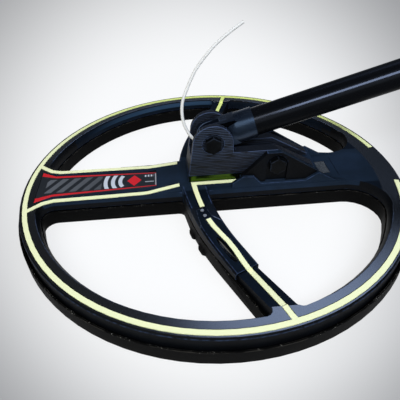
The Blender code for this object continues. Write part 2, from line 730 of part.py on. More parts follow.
def sill():
    """Return the wavy sill along the far edge of the rear spoke."""
    start = DECK_END_X - ROOT
    low = HOUSING_TOP - ROOT
    outline = [
        (start, low), (SILL_END_X, low), (SILL_END_X, HOUSING_TOP - TOUCH),
        (LUG_FOOT[1] + 0.0105, HOUSING_TOP + 0.0012), (LUG_FOOT[1] - 0.0015, SILL_PEAK_Z - 0.0008),
        (LUG_FOOT[1] - 0.0105, SILL_LOW_Z), (LUG_FOOT[0] + 0.0145, SILL_LOW_Z),
        (LUG_FOOT[0] + 0.0090, SILL_PEAK_Z - 0.0005), (LUG_FOOT[0] + 0.0015, SILL_PEAK_Z),
        (start, DECK_TOP + TOUCH),
    ]
    high = SPOKE_TOP_HALF - TOUCH
    return outline_solid([outline], lug_face() - TOUCH, high, side=True)


def lug_face():
    """Return the distance of the lugs' outer faces from the middle."""
    return BRACKET_HALF + TOUCH + LUG_THICKNESS


def rear_bolt_pockets():
    """Return the U-shaped pockets for the head and the nut in the lugs' outer faces."""
    pocket = arc((REAR_BOLT_X, REAR_BOLT_Z), HEX_RECESS_RADIUS, 0, pi, 10)
    low = SILL_LOW_Z + TOUCH
    pocket += [(REAR_BOLT_X - HEX_RECESS_RADIUS, low), (REAR_BOLT_X + HEX_RECESS_RADIUS, low)]
    far = outline_solid([pocket], lug_face() - REAR_POCKET_DEPTH, lug_face() + ROOT, side=True)
    return merged(mirrored(far), far)


def label_shape(low, high, grow):
    """Return the front spoke's panel, wider at the rim end, grown on all sides."""
    half = [
        (LABEL_REAR_X + grow, LABEL_REAR_HALF + grow),
        (LABEL_WAIST_X + grow, LABEL_HALF + grow),
        (LABEL_FRONT_X - grow, LABEL_FRONT_HALF + grow),
    ]
    outline = half + [(x, -y) for x, y in reversed(half)]
    return outline_solid([outline], low, high)


def patch_shape(low, grow, over=0.0):
    """Return the textured patch behind the bracket, grown on all sides and below."""
    reach = PATCH_LENGTH / 2 + grow
    half = PATCH_HALF + grow
    return block((PATCH_X - reach, -half, low - grow),
                 (PATCH_X + reach, half, low + PATCH_THICKNESS + over))


def build_inlays(finish, paths):
    """Stripes in their beds, the label panel and the rear patch."""
    for node, path in paths.items():
        strip = ribbon(path, STRIPE_WIDTH, STRIPE_PROUD - STRIPE_THICKNESS, STRIPE_PROUD)
        part(node, strip, finish["stripe"])
    part("label_panel", label_shape(HOUSING_TOP - LABEL_THICKNESS, HOUSING_TOP, 0.0), finish["label"])
    part("rear_patch", patch_shape(HOUSING_TOP - PATCH_THICKNESS, 0.0), finish["patch"])


def build_module(finish, paths):
    """Cover of the charging module on the near arm, and its contacts."""
    roof = LEG_TOP + TOUCH
    inner = LEG_HALF + TOUCH
    start, end = MODULE_START_Y + TOUCH, MODULE_END_Y
    cover = part("module_cover", loft([
        arm_section(-y, MODULE_HALF, roof, inner) for y in arm_stations(start, end, 10)
    ]), finish["shell"])
    scoop = bmesh.new()
    bmesh.ops.create_uvsphere(scoop, u_segments=16, v_segments=10, radius=1.0)
    bmesh.ops.scale(scoop, vec=(SCOOP_WIDTH / 2, SCOOP_LENGTH / 2, SCOOP_DEPTH), verts=scoop.verts)
    bmesh.ops.rotate(scoop, matrix=Matrix.Rotation(LEG, 3, "Z"), verts=scoop.verts)
    place = arm_point(-SCOOP_Y, SCOOP_SIDE)
    bmesh.ops.translate(scoop, vec=(*place, arm_top(SCOOP_Y)), verts=scoop.verts)
    ways = []
    for name, y in zip(("charge_contact_inner", "charge_contact_outer"), CONTACT_STATIONS):
        place = arm_point(-y, CONTACT_SIDE)
        top = arm_top(y) + CONTACT_PROUD
        part(name, rod((*place, roof), (*place, top), CONTACT_RADIUS, sides=16), finish["metal"])
        ways.append(rod((*place, roof - BED_CUT), (*place, top + BED_CUT), CONTACT_RADIUS + TOUCH, sides=16))
    cut(cover, tool("module_stripe_bed", stripe_bed(paths["module_stripe_near"])),
        tool("module_scoop", scoop), tool("contact_ways", merged(*ways)))


def winding_path(front):
    """Return the middle of one D loop: along the arm, then round its side of the ring."""
    toward = 1.0 if front else -1.0
    offset = toward * WINDING_OFFSET
    corner = 0.006
    inner = leg_meets_circle(offset, WINDING_RING_RADIUS - corner)
    reach = leg_meets_circle(offset, WINDING_RING_RADIUS)
    angle = atan2(reach.y, reach.x) + toward * corner / WINDING_RING_RADIUS
    stations = arm_stations(-LEG_START.y, LEG_START.y, 10)
    along = [(inner.x, -inner.y)] + [arm_point(y, offset) for y in stations] + [(inner.x, inner.y)]
    if front:
        return along + arc((0, 0), WINDING_RING_RADIUS, angle, 2 * pi - angle, RING_STEPS // 2)
    return along + arc((0, 0), WINDING_RING_RADIUS, angle, -angle, RING_STEPS // 2)


def tube_along(points, radius, resolution, cyclic=False):
    """Return a round tube along points, closed on itself or with flat ends."""
    curve = bpy.data.curves.new("route", "CURVE")
    curve.dimensions = "3D"
    curve.bevel_depth = radius
    curve.bevel_resolution = resolution
    curve.use_fill_caps = True
    spline = curve.splines.new("POLY")
    spline.points.add(len(points) - 1)
    for point, place in zip(spline.points, points):
        point.co = (*place, 1.0)
    spline.use_cyclic_u = cyclic
    obj = bpy.data.objects.new("route", curve)
    bpy.context.scene.collection.objects.link(obj)
    evaluated = obj.evaluated_get(bpy.context.evaluated_depsgraph_get())
    mesh = bpy.data.meshes.new_from_object(evaluated)
    bm = bmesh.new()
    bm.from_mesh(mesh)
    bpy.data.objects.remove(obj)
    bpy.data.curves.remove(curve)
    bpy.data.meshes.remove(mesh)
    return bm


def build_inside(finish):
    """Windings, board, shield and battery on the base plate."""
    seat = BASE_HIGH + TOUCH
    for name, front in (("transmit_winding", True), ("receive_winding", False)):
        path = [(x, y, seat + WINDING_RADIUS) for x, y in winding_path(front)]
        part(name, tube_along(path, WINDING_RADIUS, 1, cyclic=True), finish["copper"])
    for name, size, x, low, slot in (
        ("battery_cell", BATTERY_SIZE, BATTERY_X, seat, "cell"),
        ("circuit_board", BOARD_SIZE, BOARD_X, seat, "board"),
        ("shield_can", CAN_SIZE, BOARD_X, seat + BOARD_SIZE[2] + TOUCH, "metal"),
    ):
        half_x, half_y = size[0] / 2, size[1] / 2
        part(name, block((x - half_x, -half_y, low), (x + half_x, half_y, low + size[2])), finish[slot])


def bracket_side():
    """Return the bracket's side outline: ear, shelf and falling tail."""
    low = PLINTH_TOP + TOUCH
    ear = arc((PIVOT_X, PIVOT_Z), EAR_RADIUS, pi, 0, 18)
    return [(BRACKET_FRONT_X, low)] + ear + [
        (PIVOT_X + EAR_RADIUS + 0.0004, SHELF_Z), (SHELF_END_X, SHELF_Z), (TAIL_END_X, TAIL_Z),
        (TAIL_END_X, low),
    ]


def clevis_floor():
    """Return the height of the floor between the ears, clear of the fork."""
    return PIVOT_Z - FORK_RADIUS - 0.0012


def fork_half():
    """Return half the width of the fork, which leaves room for the washers between the ears."""
    return BRACKET_HALF - EAR_THICKNESS - TOUCH - WASHER_THICKNESS - RUN


def build_bracket(finish):
    """Printed clevis on the plinth, with bolts, nuts and friction washers."""
    bracket = part("bracket", outline_solid([bracket_side()], -BRACKET_HALF, BRACKET_HALF, side=True),
                   finish["printed"])
    gap = BRACKET_HALF - EAR_THICKNESS
    clevis = block((BRACKET_FRONT_X - 0.01, -gap, clevis_floor()),
                   (PIVOT_X + EAR_RADIUS + 0.002, gap, PIVOT_Z + EAR_RADIUS + 0.01))
    slope = (SHELF_Z - TAIL_Z) / (TAIL_END_X - SHELF_END_X)
    past = 0.005
    floor = [
        (TROUGH_START_X - past, SHELF_Z - TROUGH_DEPTH), (SHELF_END_X, SHELF_Z - TROUGH_DEPTH),
        (TAIL_END_X + past, TAIL_Z - TROUGH_DEPTH - slope * past), (TAIL_END_X + past, SHELF_Z + past),
        (TROUGH_START_X - past, SHELF_Z + past),
    ]
    trough = outline_solid([floor], -TROUGH_HALF, TROUGH_HALF, side=True)
    far = BRACKET_HALF + 0.01
    holes = [
        rod((PIVOT_X, -far, PIVOT_Z), (PIVOT_X, far, PIVOT_Z), BOLT_RADIUS + TOUCH),
        rod((REAR_BOLT_X, -far, REAR_BOLT_Z), (REAR_BOLT_X, far, REAR_BOLT_Z), BOLT_RADIUS + TOUCH),
    ]
    recess_floor = BRACKET_HALF - HEX_RECESS
    recesses = [
        rod((PIVOT_X, side * recess_floor, PIVOT_Z), (PIVOT_X, side * far, PIVOT_Z), HEX_RECESS_RADIUS)
        for side in (-1, 1)
    ]
    cut(bracket, tool("clevis_gap", clevis), tool("trough", trough))
    for number, shape in enumerate(holes + recesses):
        cut(bracket, tool("bracket_hole_%d" % number, shape))
    build_bolt("pivot", PIVOT_X, PIVOT_Z, recess_floor, finish["bolt"])
    build_bolt("bracket", REAR_BOLT_X, REAR_BOLT_Z, lug_face() - REAR_POCKET_DEPTH, finish["bolt"])
    low = BRACKET_HALF - EAR_THICKNESS - TOUCH - WASHER_THICKNESS
    bore = tool("washer_bore", rod((PIVOT_X, -far, PIVOT_Z), (PIVOT_X, far, PIVOT_Z), BOLT_RADIUS + TOUCH))
    for name, side in (("pivot_washer_near", -1), ("pivot_washer_far", 1)):
        high = low + WASHER_THICKNESS
        washer = rod((PIVOT_X, side * low, PIVOT_Z), (PIVOT_X, side * high, PIVOT_Z), WASHER_RADIUS)
        cut(part(name, washer, finish["rubber"]), bore)


def build_bolt(name, x, z, seat, finish):
    """Hex bolt from the near side with its nut on the far side, seated at equal distances."""
    face = seat + TOUCH
    bolt = part(name + "_bolt", hexagon((x, -face - HEX_HEIGHT, z), (x, -face, z), HEX_FLATS), finish)
    end = face + NUT_HEIGHT + 0.0015
    join(bolt, tool(name + "_shank", rod((x, -face - HEX_HEIGHT / 2, z), (x, end, z), BOLT_RADIUS)))
    nut = part(name + "_nut", hexagon((x, face, z), (x, face + NUT_HEIGHT, z), HEX_FLATS), finish)
    cut(nut, tool(name + "_thread", rod((x, 0, z), (x, end + 0.01, z), BOLT_RADIUS + TOUCH)))


def build_wire(finish):
    """White wire and the gland that it leaves, in front of the fork."""
    floor = clevis_floor() + TOUCH
    top = floor + GLAND_HEIGHT
    part("wire_gland", rod((GLAND_X, GLAND_Y, floor), (GLAND_X, GLAND_Y, top), GLAND_RADIUS,
                           GLAND_TOP_RADIUS, sides=16), finish["rubber"])
    route = [(GLAND_X, GLAND_Y, top + TOUCH)] + list(WIRE_ROUTE)
    part("antenna_wire", tube_along(smooth(route, 3), WIRE_RADIUS, 2), finish["wire"])


def smooth(points, parts):
    """Return points along a smooth curve through others, with so many steps between each two."""
    known = [Vector(point) for point in points]
    known = [2 * known[0] - known[1]] + known + [2 * known[-1] - known[-2]]
    line = []
    for a, b, c, d in zip(known, known[1:], known[2:], known[3:]):
        for i in range(parts):
            t = i / parts
            line.append(0.5 * (2 * b + (c - a) * t + (2 * a - 5 * b + 4 * c - d) * t * t
                               + (3 * b - a - 3 * c + d) * t * t * t))
    return line + [known[-2]]


def turned(name, profile, finish, parent, turn, place=(0, 0, 0), steps=STEM_STEPS):
    """Add a piece turned about its own axis, from its section of radius and distance along it."""
    bm = bmesh.new()
    corners = [bm.verts.new((radius, 0, along)) for radius, along in profile]
    for first, second in zip(corners, corners[1:]):
        bm.edges.new((first, second))
    if profile[0][0] > 0:
        bm.edges.new((corners[-1], corners[0]))
    mesh = bpy.data.meshes.new(name)
    bm.to_mesh(mesh)
    bm.free()
    obj = bpy.data.objects.new(name, mesh)
    obj.data.materials.append(finish)
    obj.parent = parent
    obj.location = place
    obj.rotation_euler = turn
    collection(PARTS).objects.link(obj)
    screw = obj.modifiers.new("turn", "SCREW")
    screw.axis = "Z"
    screw.steps = steps
    screw.render_steps = steps
    screw.use_merge_vertices = True
    screw.merge_threshold = 1e-5
    return obj


def build_stem(finish):
    """Fork, tube, spring and buttons, on an empty at the pivot."""
    pivot = bpy.data.objects.new("stem_pivot", None)
    pivot.location = (PIVOT_X, 0, PIVOT_Z)
    pivot.rotation_euler = (0, -radians(STEM_TILT), 0)
    collection(PARTS).objects.link(pivot)
    build_fork(finish, pivot)
    build_tube(finish, pivot)
    return pivot


def build_fork(finish, pivot):
    """Moulded fork: two lugs flattened from a round bar, a slot with a round end, and the sleeve."""
    half = fork_half()
    shoulder = SLEEVE_START - TOUCH
    lugs = arc((0, 0), FORK_RADIUS, pi / 2, 1.5 * pi, 16)
    lugs += [(SLEEVE_START, -FORK_RADIUS), (SLEEVE_START, FORK_RADIUS)]
    fork = part("stem_fork", outline_solid([lugs], -half, half, side=True), finish["shell"], pivot)
    bar = rod((-2 * FORK_RADIUS, 0, 0), (SLEEVE_END, 0, 0), FORK_BAR_RADIUS, sides=STEM_STEPS)
    combine(fork, "INTERSECT", tool("fork_bar", bar, pivot))
    rings = (
        (shoulder - SLEEVE_TAPER, half - TOUCH), (shoulder, SLEEVE_RADIUS), (SLEEVE_END, SLEEVE_RADIUS),
    )
    sleeve = loft([
        [(s, r * cos(2 * pi * i / STEM_STEPS), r * sin(2 * pi * i / STEM_STEPS)) for i in range(STEM_STEPS)]
        for s, r in rings
    ])
    join(fork, tool("fork_sleeve", sleeve, pivot))
    past = 2 * FORK_RADIUS
    slot = outline_solid([
        arc((FORK_SLOT_END, 0), FORK_SLOT / 2, -pi / 2, pi / 2, 10)
        + [(-past, FORK_SLOT / 2), (-past, -FORK_SLOT / 2)]
    ], -past, past)
    bore = rod((SLEEVE_START + TOUCH, 0, 0), (SLEEVE_END + past, 0, 0), TUBE_RADIUS + TOUCH, sides=STEM_STEPS)
    hole = rod((0, -past, 0), (0, past, 0), BOLT_RADIUS + RUN)
    for name, shape in (("fork_slot", slot), ("fork_bore", bore), ("fork_hole", hole)):
        cut(fork, tool(name, shape, pivot))


def build_tube(finish, pivot):
    """Stem tube with its sprung buttons near the top end."""
    inner = TUBE_RADIUS - TUBE_WALL
    start = SLEEVE_START + 2 * TOUCH
    tube = turned("stem_tube", [(TUBE_RADIUS, STEM_LENGTH), (TUBE_RADIUS, start), (inner, start),
                                (inner, STEM_LENGTH)], finish["tube"], pivot, (0, pi / 2, 0))
    at = STEM_LENGTH - BUTTON_FROM_END
    way = rod((at, -TUBE_RADIUS * 2, 0), (at, TUBE_RADIUS * 2, 0), BUTTON_RADIUS + RUN)
    cut(tube, tool("button_way", way, pivot))
    flange_out = sqrt(inner ** 2 - BUTTON_FLANGE ** 2) - RUN
    flange_in = flange_out - BUTTON_FLANGE_THICKNESS
    out = TUBE_RADIUS + BUTTON_OUT - flange_in
    profile = [
        (0, out), (BUTTON_RADIUS * 0.5, out - BUTTON_EDGE * 0.15),
        (BUTTON_RADIUS - BUTTON_EDGE * 0.3, out - BUTTON_EDGE * 0.6),
        (BUTTON_RADIUS, out - BUTTON_EDGE), (BUTTON_RADIUS, BUTTON_FLANGE_THICKNESS),
        (BUTTON_FLANGE, BUTTON_FLANGE_THICKNESS), (BUTTON_FLANGE, 0), (0, 0),
    ]
    for name, side in (("snap_button_left", 1), ("snap_button_right", -1)):
        place = (at, side * flange_in, 0)
        turned(name, profile, finish["metal"], pivot, (-side * pi / 2, 0, 0), place, 24)
    build_spring(at, flange_in - TOUCH, finish["metal"], pivot)


def build_spring(at, reach, finish, pivot):
    """V-shaped leaf spring that pushes both buttons out."""
    tip = at + BUTTON_FLANGE
    bend = at - SPRING_LENGTH
    outer = [(tip, reach), (at - BUTTON_FLANGE, reach), (bend + SPRING_BEND, SPRING_BEND)]
    inner = [(bend + SPRING_BEND, SPRING_BEND - SPRING_THICKNESS),
             (at - BUTTON_FLANGE, reach - SPRING_THICKNESS), (tip, reach - SPRING_THICKNESS)]
    round_out = arc((bend + SPRING_BEND, 0), SPRING_BEND, pi / 2, 1.5 * pi, 8)[1:-1]
    round_in = arc((bend + SPRING_BEND, 0), SPRING_BEND - SPRING_THICKNESS, 1.5 * pi, pi / 2, 8)[1:-1]
    outline = outer + round_out + [(x, -y) for x, y in reversed(outer)]
    outline += [(x, -y) for x, y in reversed(inner)] + round_in + inner
    part("button_spring", outline_solid([outline], -SPRING_HALF, SPRING_HALF), finish, pivot)


def finishes():
    """Return the materials by what they are used for."""
    return {
        "shell": material("moulded_shell", (0.018, 0.022, 0.030), 0.42),
        "skid": material("skid_plastic", (0.020, 0.020, 0.019), 0.62),
        "stripe": material("glow_stripe", (0.84, 0.90, 0.52), 0.55),
        "label": material("label_film", (0.035, 0.038, 0.042), 0.40),
        "patch": material("grey_patch", (0.12, 0.12, 0.125), 0.80),
        "printed": material("printed_plastic", (0.016, 0.018, 0.028), 0.55),
        "bolt": material("black_bolt", (0.012, 0.013, 0.016), 0.40),
        "rubber": material("black_rubber", (0.020, 0.020, 0.020), 0.80),
        "wire": material("white_wire", (0.86, 0.86, 0.84), 0.45),
        "tube": material("black_tube", (0.010, 0.011, 0.014), 0.20),
        "metal": material("bright_metal", (0.62, 0.63, 0.64), 0.30, 1.0),
        "copper": material("winding_copper", (0.55, 0.25, 0.12), 0.40, 1.0),
        "board": material("board_green", (0.02, 0.12, 0.06), 0.50),
        "cell": material("cell_wrap", (0.10, 0.16, 0.30), 0.45),
    }


def main():
    """Build the whole part."""
    clear_scene()
    finish = finishes()
    paths = inlay_paths()
    build_skid_plate(finish["skid"])
    build_base(finish["skid"])
    build_housing(finish["shell"], paths)
    build_inlays(finish, paths)
    build_module(finish, paths)
    build_inside(finish)
    build_bracket(finish)
    build_wire(finish)
    build_stem(finish)


main()
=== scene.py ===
"""Looks of a metal detector's search head, an open round coil with its lower stem.

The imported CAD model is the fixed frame. A visible solid gets a finished piece with rounded edges that
stands for it, or keeps its shape and gets a finish. Lengths are in metres unless a name says otherwise.
"""

import logging
import math
from collections.abc import Callable
from dataclasses import dataclass, field
from enum import Enum

import bmesh
import bpy
from mathutils import Matrix, Vector
from mathutils.bvhtree import BVHTree
from mathutils.geometry import intersect_point_line


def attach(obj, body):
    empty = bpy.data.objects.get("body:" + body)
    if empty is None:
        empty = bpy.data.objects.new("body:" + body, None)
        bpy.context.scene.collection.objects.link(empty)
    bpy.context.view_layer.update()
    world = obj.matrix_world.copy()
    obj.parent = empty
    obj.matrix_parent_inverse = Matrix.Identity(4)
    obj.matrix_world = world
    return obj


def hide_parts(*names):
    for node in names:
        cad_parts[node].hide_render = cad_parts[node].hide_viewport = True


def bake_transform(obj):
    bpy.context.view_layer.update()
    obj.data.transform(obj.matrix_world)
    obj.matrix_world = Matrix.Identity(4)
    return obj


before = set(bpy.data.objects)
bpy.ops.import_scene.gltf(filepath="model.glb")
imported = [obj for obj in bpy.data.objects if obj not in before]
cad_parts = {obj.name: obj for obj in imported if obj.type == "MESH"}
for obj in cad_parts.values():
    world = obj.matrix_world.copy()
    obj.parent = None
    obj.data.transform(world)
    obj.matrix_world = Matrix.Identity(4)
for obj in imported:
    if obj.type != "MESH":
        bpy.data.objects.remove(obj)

LOG = logging.getLogger("search_head")
MM = 1000.0  # shader coordinates are read in millimetres
MERGE = 2e-6  # points of a solid's loose triangles that are one
TINY = 1e-9  # a length that counts as none
FLAT = math.radians(0.6)  # triangles of one flat
SHARP = math.radians(42)  # edges that stay sharp to the eye
ROUNDED = math.radians(38), math.radians(150)  # turns of the edges that are rounded
NARROW = math.radians(24)  # corners too narrow for a rounded edge
ROOM = 2.1  # widths that a rounded edge keeps clear of the next edge
SHORTEST = 0.8  # widths that an edge has to be long
MOST_LOST = 0.03  # share of a solid that its rounding may take off
UPWARD = 0.72  # upward part of the direction of a face that looks up
UPRIGHT = 0.9  # sideways part of the direction of an upright face
EDGE_MARK = "edge"  # attribute of the faces that round an edge
STEM_TILT = math.radians(16.4)  # rise of the stem at rest
STEM_PIVOT = 0.0013, 0.0, 0.0535  # middle of its hinge

Object, Face, Socket, Shape = bpy.types.Object, bpy.types.MeshPolygon, bpy.types.NodeSocket, bmesh.types.BMesh
Colour = tuple[float, float, float, float]
Spot = tuple[float, float, float]
Span = tuple[float, float]
WHITE: Colour = (1.0, 1.0, 1.0, 1.0)


class Body(Enum):
    """The moving bodies of the frame."""

    COIL = "coil"
    STEM = "stem"
    BUTTON_LEFT = "button_left"
    BUTTON_RIGHT = "button_right"


class Slot(Enum):
    """Material slots listed with each cover; the script gives the pieces none of them."""

    SHELL = "shell"
    SKID = "skid"
    STRIPE = "stripe"
    LABEL = "label"
    PATCH = "patch"
    PRINTED = "printed"
    BOLT = "bolt"
    RUBBER = "rubber"
    WIRE = "wire"
    TUBE = "tube"
    METAL = "metal"


def tint(code: str) -> Colour:
    """Turn a screen colour into the linear colour that a shader reads.

    Args:
        code: Six hexadecimal digits, red first.

    Returns:
        The linear colour with a full alpha.
    """
    parts = [int(code[i:i + 2], 16) / 255 for i in (0, 2, 4)]
    linear = [c / 12.92 if c <= 0.04045 else ((c + 0.055) / 1.055) ** 2.4 for c in parts]
    return linear[0], linear[1], linear[2], 1.0


class Val:
    """A value among shader nodes. Its operators add Math nodes."""

    def __init__(self, nodes: "Nodes", socket: Socket) -> None:
        """Keep the socket and the nodes that it belongs to."""
        self.nodes = nodes
        self.socket = socket

    def math(self, operation: str, *inputs: "Val | float") -> "Val":
        """Add a Math node.

        Args:
            operation: The node's operation.
            inputs: What goes into its sockets, in their order.

        Returns:
            The node's value.
        """
        node = self.nodes.node("ShaderNodeMath", {"operation": operation}, dict(enumerate(inputs)))
        return Val(self.nodes, node.outputs[0])

    def __add__(self, other: "Val | float") -> "Val":
        """Add."""
        return self.math("ADD", self, other)

    def __radd__(self, other: float) -> "Val":
        """Add to a number."""
        return self.math("ADD", other, self)

    def __sub__(self, other: "Val | float") -> "Val":
        """Subtract."""
        return self.math("SUBTRACT", self, other)

    def __rsub__(self, other: float) -> "Val":
        """Subtract from a number."""
        return self.math("SUBTRACT", other, self)

    def __mul__(self, other: "Val | float") -> "Val":
        """Multiply."""
        return self.math("MULTIPLY", self, other)

    def __rmul__(self, other: float) -> "Val":
        """Multiply a number."""
        return self.math("MULTIPLY", other, self)

    def __truediv__(self, other: "Val | float") -> "Val":
        """Divide."""
        return self.math("DIVIDE", self, other)

    def __rtruediv__(self, other: float) -> "Val":
        """Divide a number by this."""
        return self.math("DIVIDE", other, self)

    def __abs__(self) -> "Val":
        """Drop the sign."""
        return self.math("ABSOLUTE", self)

    def most(self, other: "Val | float") -> "Val":
        """Take the larger of two."""
        return self.math("MAXIMUM", self, other)

    def reach(self, other: "Val") -> "Val":
        """Measure from the middle to the point with these two coordinates."""
        return self.math("POWER", self * self + other * other, 0.5)

    def repeat(self, pitch: float) -> "Val":
        """Run from 0 to 1 over each pitch."""
        return self.math("FRACT", self / pitch)

    def ramp(self, low: float, high: float, even: bool = False) -> "Val":
        """Rise from 0 at low to 1 at high.

        Args:
            low: Value that gives 0.
            high: Value that gives 1, which may be the smaller one.
            even: Whether it rises evenly, and not with smooth ends.

        Returns:
            The ramp, held between 0 and 1.
        """
        node = self.nodes.node(
            "ShaderNodeMapRange", {"interpolation_type": "LINEAR" if even else "SMOOTHSTEP"},
            {"Value": self, "From Min": low, "From Max": high},
        )
        return Val(self.nodes, node.outputs["Result"])

    def about(self, middle: float, soft: float) -> "Val":
        """Step from 0 to 1 at a value, over a blurred edge that reaches as far as soft on each side."""
        return self.ramp(middle - soft, middle + soft)

    def within(self, low: float, high: float, soft: float) -> "Val":
        """Mark the values between two limits, with edges that are blurred as far as soft on each side."""
        return self.about(low, soft) * self.about(high, -soft)


Input = Val | Socket | float | tuple


class Nodes:
    """A tree of shader nodes."""

    def __init__(self, tree: bpy.types.NodeTree) -> None:
        """Keep the tree, and clear it."""
        self.tree = tree
        tree.nodes.clear()

    def node(self, kind: str, settings: dict | None = None, inputs: dict | None = None) -> bpy.types.Node:
        """Add any node.

        Args:
            kind: The node's type.
            settings: Its settings, which are set first.
            inputs: Values or links of its sockets, by name or place.

        Returns:
            The node.
        """
        made = self.tree.nodes.new(kind)
        for key, value in (settings or {}).items():
            setattr(made, key, value)
        for key, value in (inputs or {}).items():
            if isinstance(value, Val):
                value = value.socket
            if isinstance(value, Socket):
                self.tree.links.new(value, made.inputs[key])
            else:
                made.inputs[key].default_value = value
        return made

    def parts(self, vector: Socket) -> list[Val]:
        """Split a vector into its three numbers."""
        return [Val(self, part) for part in self.node("ShaderNodeSeparateXYZ", {}, {0: vector}).outputs]

    def paint(self, base: Input, *coats: tuple[Input, Input]) -> Input:
        """Lay colours over a first one.

        Args:
            base: First colour.
            coats: How much of each further colour shows, and that colour, in their order.

        Returns:
            The colour that is seen.
        """
        settings = {"data_type": "RGBA", "clamp_factor": True}
        for share, over in coats:
            base = self.node("ShaderNodeMix", settings, {0: share, 6: base, 7: over}).outputs[2]
        return base


class Shader(Nodes):
    """One material's nodes, with its Object coordinates in millimetres."""

    def __init__(self, name: str) -> None:
        """Start the material with an output.

        Args:
            name: The material's name.
        """
        self.material = bpy.data.materials.new(name)
        self.material.use_nodes = True
        super().__init__(self.material.node_tree)
        self.out = self.node("ShaderNodeOutputMaterial")
        self.spot = self.node("ShaderNodeTexCoord").outputs["Object"]
        self.x, self.y, self.z = (part * MM for part in self.parts(self.spot))

    def noise(self, grain: float, detail: float = 2.0, stretch: Spot = (1.0, 1.0, 1.0)) -> Val:
        """Add soft noise.

        Args:
            grain: Size of its lumps in millimetres.
            detail: Finer layers on it.
            stretch: How much finer it runs along each axis.

        Returns:
            The noise, about 0.5 in the middle.
        """
        scaled = self.node("ShaderNodeVectorMath", {"operation": "MULTIPLY"}, {0: self.spot, 1: stretch})
        inputs = {"Vector": scaled.outputs[0], "Scale": MM / grain, "Detail": detail}
        return Val(self, self.node("ShaderNodeTexNoise", {}, inputs).outputs[0])

    def cells(self, grain: float) -> Val:
        """Add the distance to the nearest of scattered points, in cells of that size in millimetres."""
        node = self.node("ShaderNodeTexVoronoi", {}, {"Vector": self.spot, "Scale": MM / grain})
        return Val(self, node.outputs["Distance"])

    def facing(self, axis: int) -> Val:
        """Read one part of the surface's direction, from -1 to 1."""
        return self.parts(self.node("ShaderNodeNewGeometry").outputs["Normal"])[axis]

    def edge(self) -> Val:
        """Read the mark of the faces that round an edge."""
        return Val(self, self.node("ShaderNodeAttribute", {"attribute_name": EDGE_MARK}).outputs["Fac"])

    def bump(self, height: Val, depth_mm: float) -> Socket:
        """Raise the surface for the light, by the depth where the height is 1."""
        return self.node("ShaderNodeBump", {}, {"Height": height, "Distance": depth_mm / MM}).outputs[0]

    def show(self, kind: str, inputs: dict) -> Socket:
        """Add a shader, and make it the material's surface.

        Args:
            kind: The shader node's type.
            inputs: Values or links of its sockets.

        Returns:
            The shader.
        """
        made = self.node(kind, {}, inputs).outputs[0]
        self.tree.links.new(made, self.out.inputs["Surface"])
        return made

    def surface(self, **inputs: Input) -> Socket:
        """Add the main surface shader. Names are its sockets' names with underscores."""
        return self.show("ShaderNodeBsdfPrincipled", {key.replace("_", " "): v for key, v in inputs.items()})

    def two_surfaces(self, share: Val, base: Socket, over: Socket) -> None:
        """Show as much of a second surface shader over a first one as the share says."""
        self.show("ShaderNodeMixShader", {0: share, 1: base, 2: over})


@dataclass(frozen=True)
class Finish:
    """A finish, which makes its material once."""

    name: str

    def shade(self, s: Shader) -> None:
        """Add the nodes. Each finish has its own."""
        raise NotImplementedError

    def material(self) -> bpy.types.Material:
        """Make the material on the first call.

        Returns:
            The material.
        """
        found = bpy.data.materials.get(self.name)
        if found is None:
            shader = Shader(self.name)
            self.shade(shader)
            found = shader.material
        return found


@dataclass(frozen=True)
class MouldedShell(Finish):
    """Black moulded nylon with a fine spark-eroded grain."""

    base: Colour = tint("07080A")
    tone: Colour = tint("0C0F14")
    edge_wear_and_highlight: Colour = tint("3A4A66")
    dark: Colour = tint("05060A")
    gloss: float = 0.52
    shine: float = 0.06
    sheen: Colour = WHITE
    seam_mm: Span = (93.98, 94.42)
    seam_half_mm: float = 12.2
    seam_level_mm: float = 19.2
    grain_mm: float = 0.03

    def ground(self, s: Shader, share: Val) -> tuple[Input, Input]:
        """Give the colour under the lighter edges, and how much of it has a satin skin.

        Args:
            s: The shader.
            share: How much of the second tone shows.

        Returns:
            The colour and the weight of the skin.
        """
        return s.paint(self.base, (share, self.tone)), 0.0

    def shade(self, s: Shader) -> None:
        """Grain, slow tone, a fine seam behind the hub, and lighter edges, part scuffs, part painted highlight.

        Args:
            s: The shader.
        """
        grain, cloud, fine = s.noise(0.34, 3.0), s.noise(22.0, 3.0), s.noise(2.6, 4.0)
        seam = s.x.within(*self.seam_mm, 0.05) * abs(s.y).about(self.seam_half_mm, -0.2)
        seam = seam * s.z.about(self.seam_level_mm, 0.2)
        colour, skin = self.ground(s, cloud.ramp(0.3, 0.75) * 0.8)
        # the rounded edges are lighter and bluish: partly scuffs, partly a painted highlight
        edge_share = s.edge() * fine.ramp(0.28, 0.72)
        s.surface(
            Base_Color=s.paint(colour, (seam * 0.85, self.dark), (edge_share * 0.5, self.edge_wear_and_highlight)),
            Roughness=self.gloss + (cloud - 0.5) * 0.10 + (fine - 0.5) * 0.10,
            Specular_IOR_Level=self.shine, Specular_Tint=self.sheen,
            Coat_Weight=skin, Coat_IOR=2.4, Coat_Roughness=0.25,
            Normal=s.bump(grain - seam * 3.0, self.grain_mm),
        )


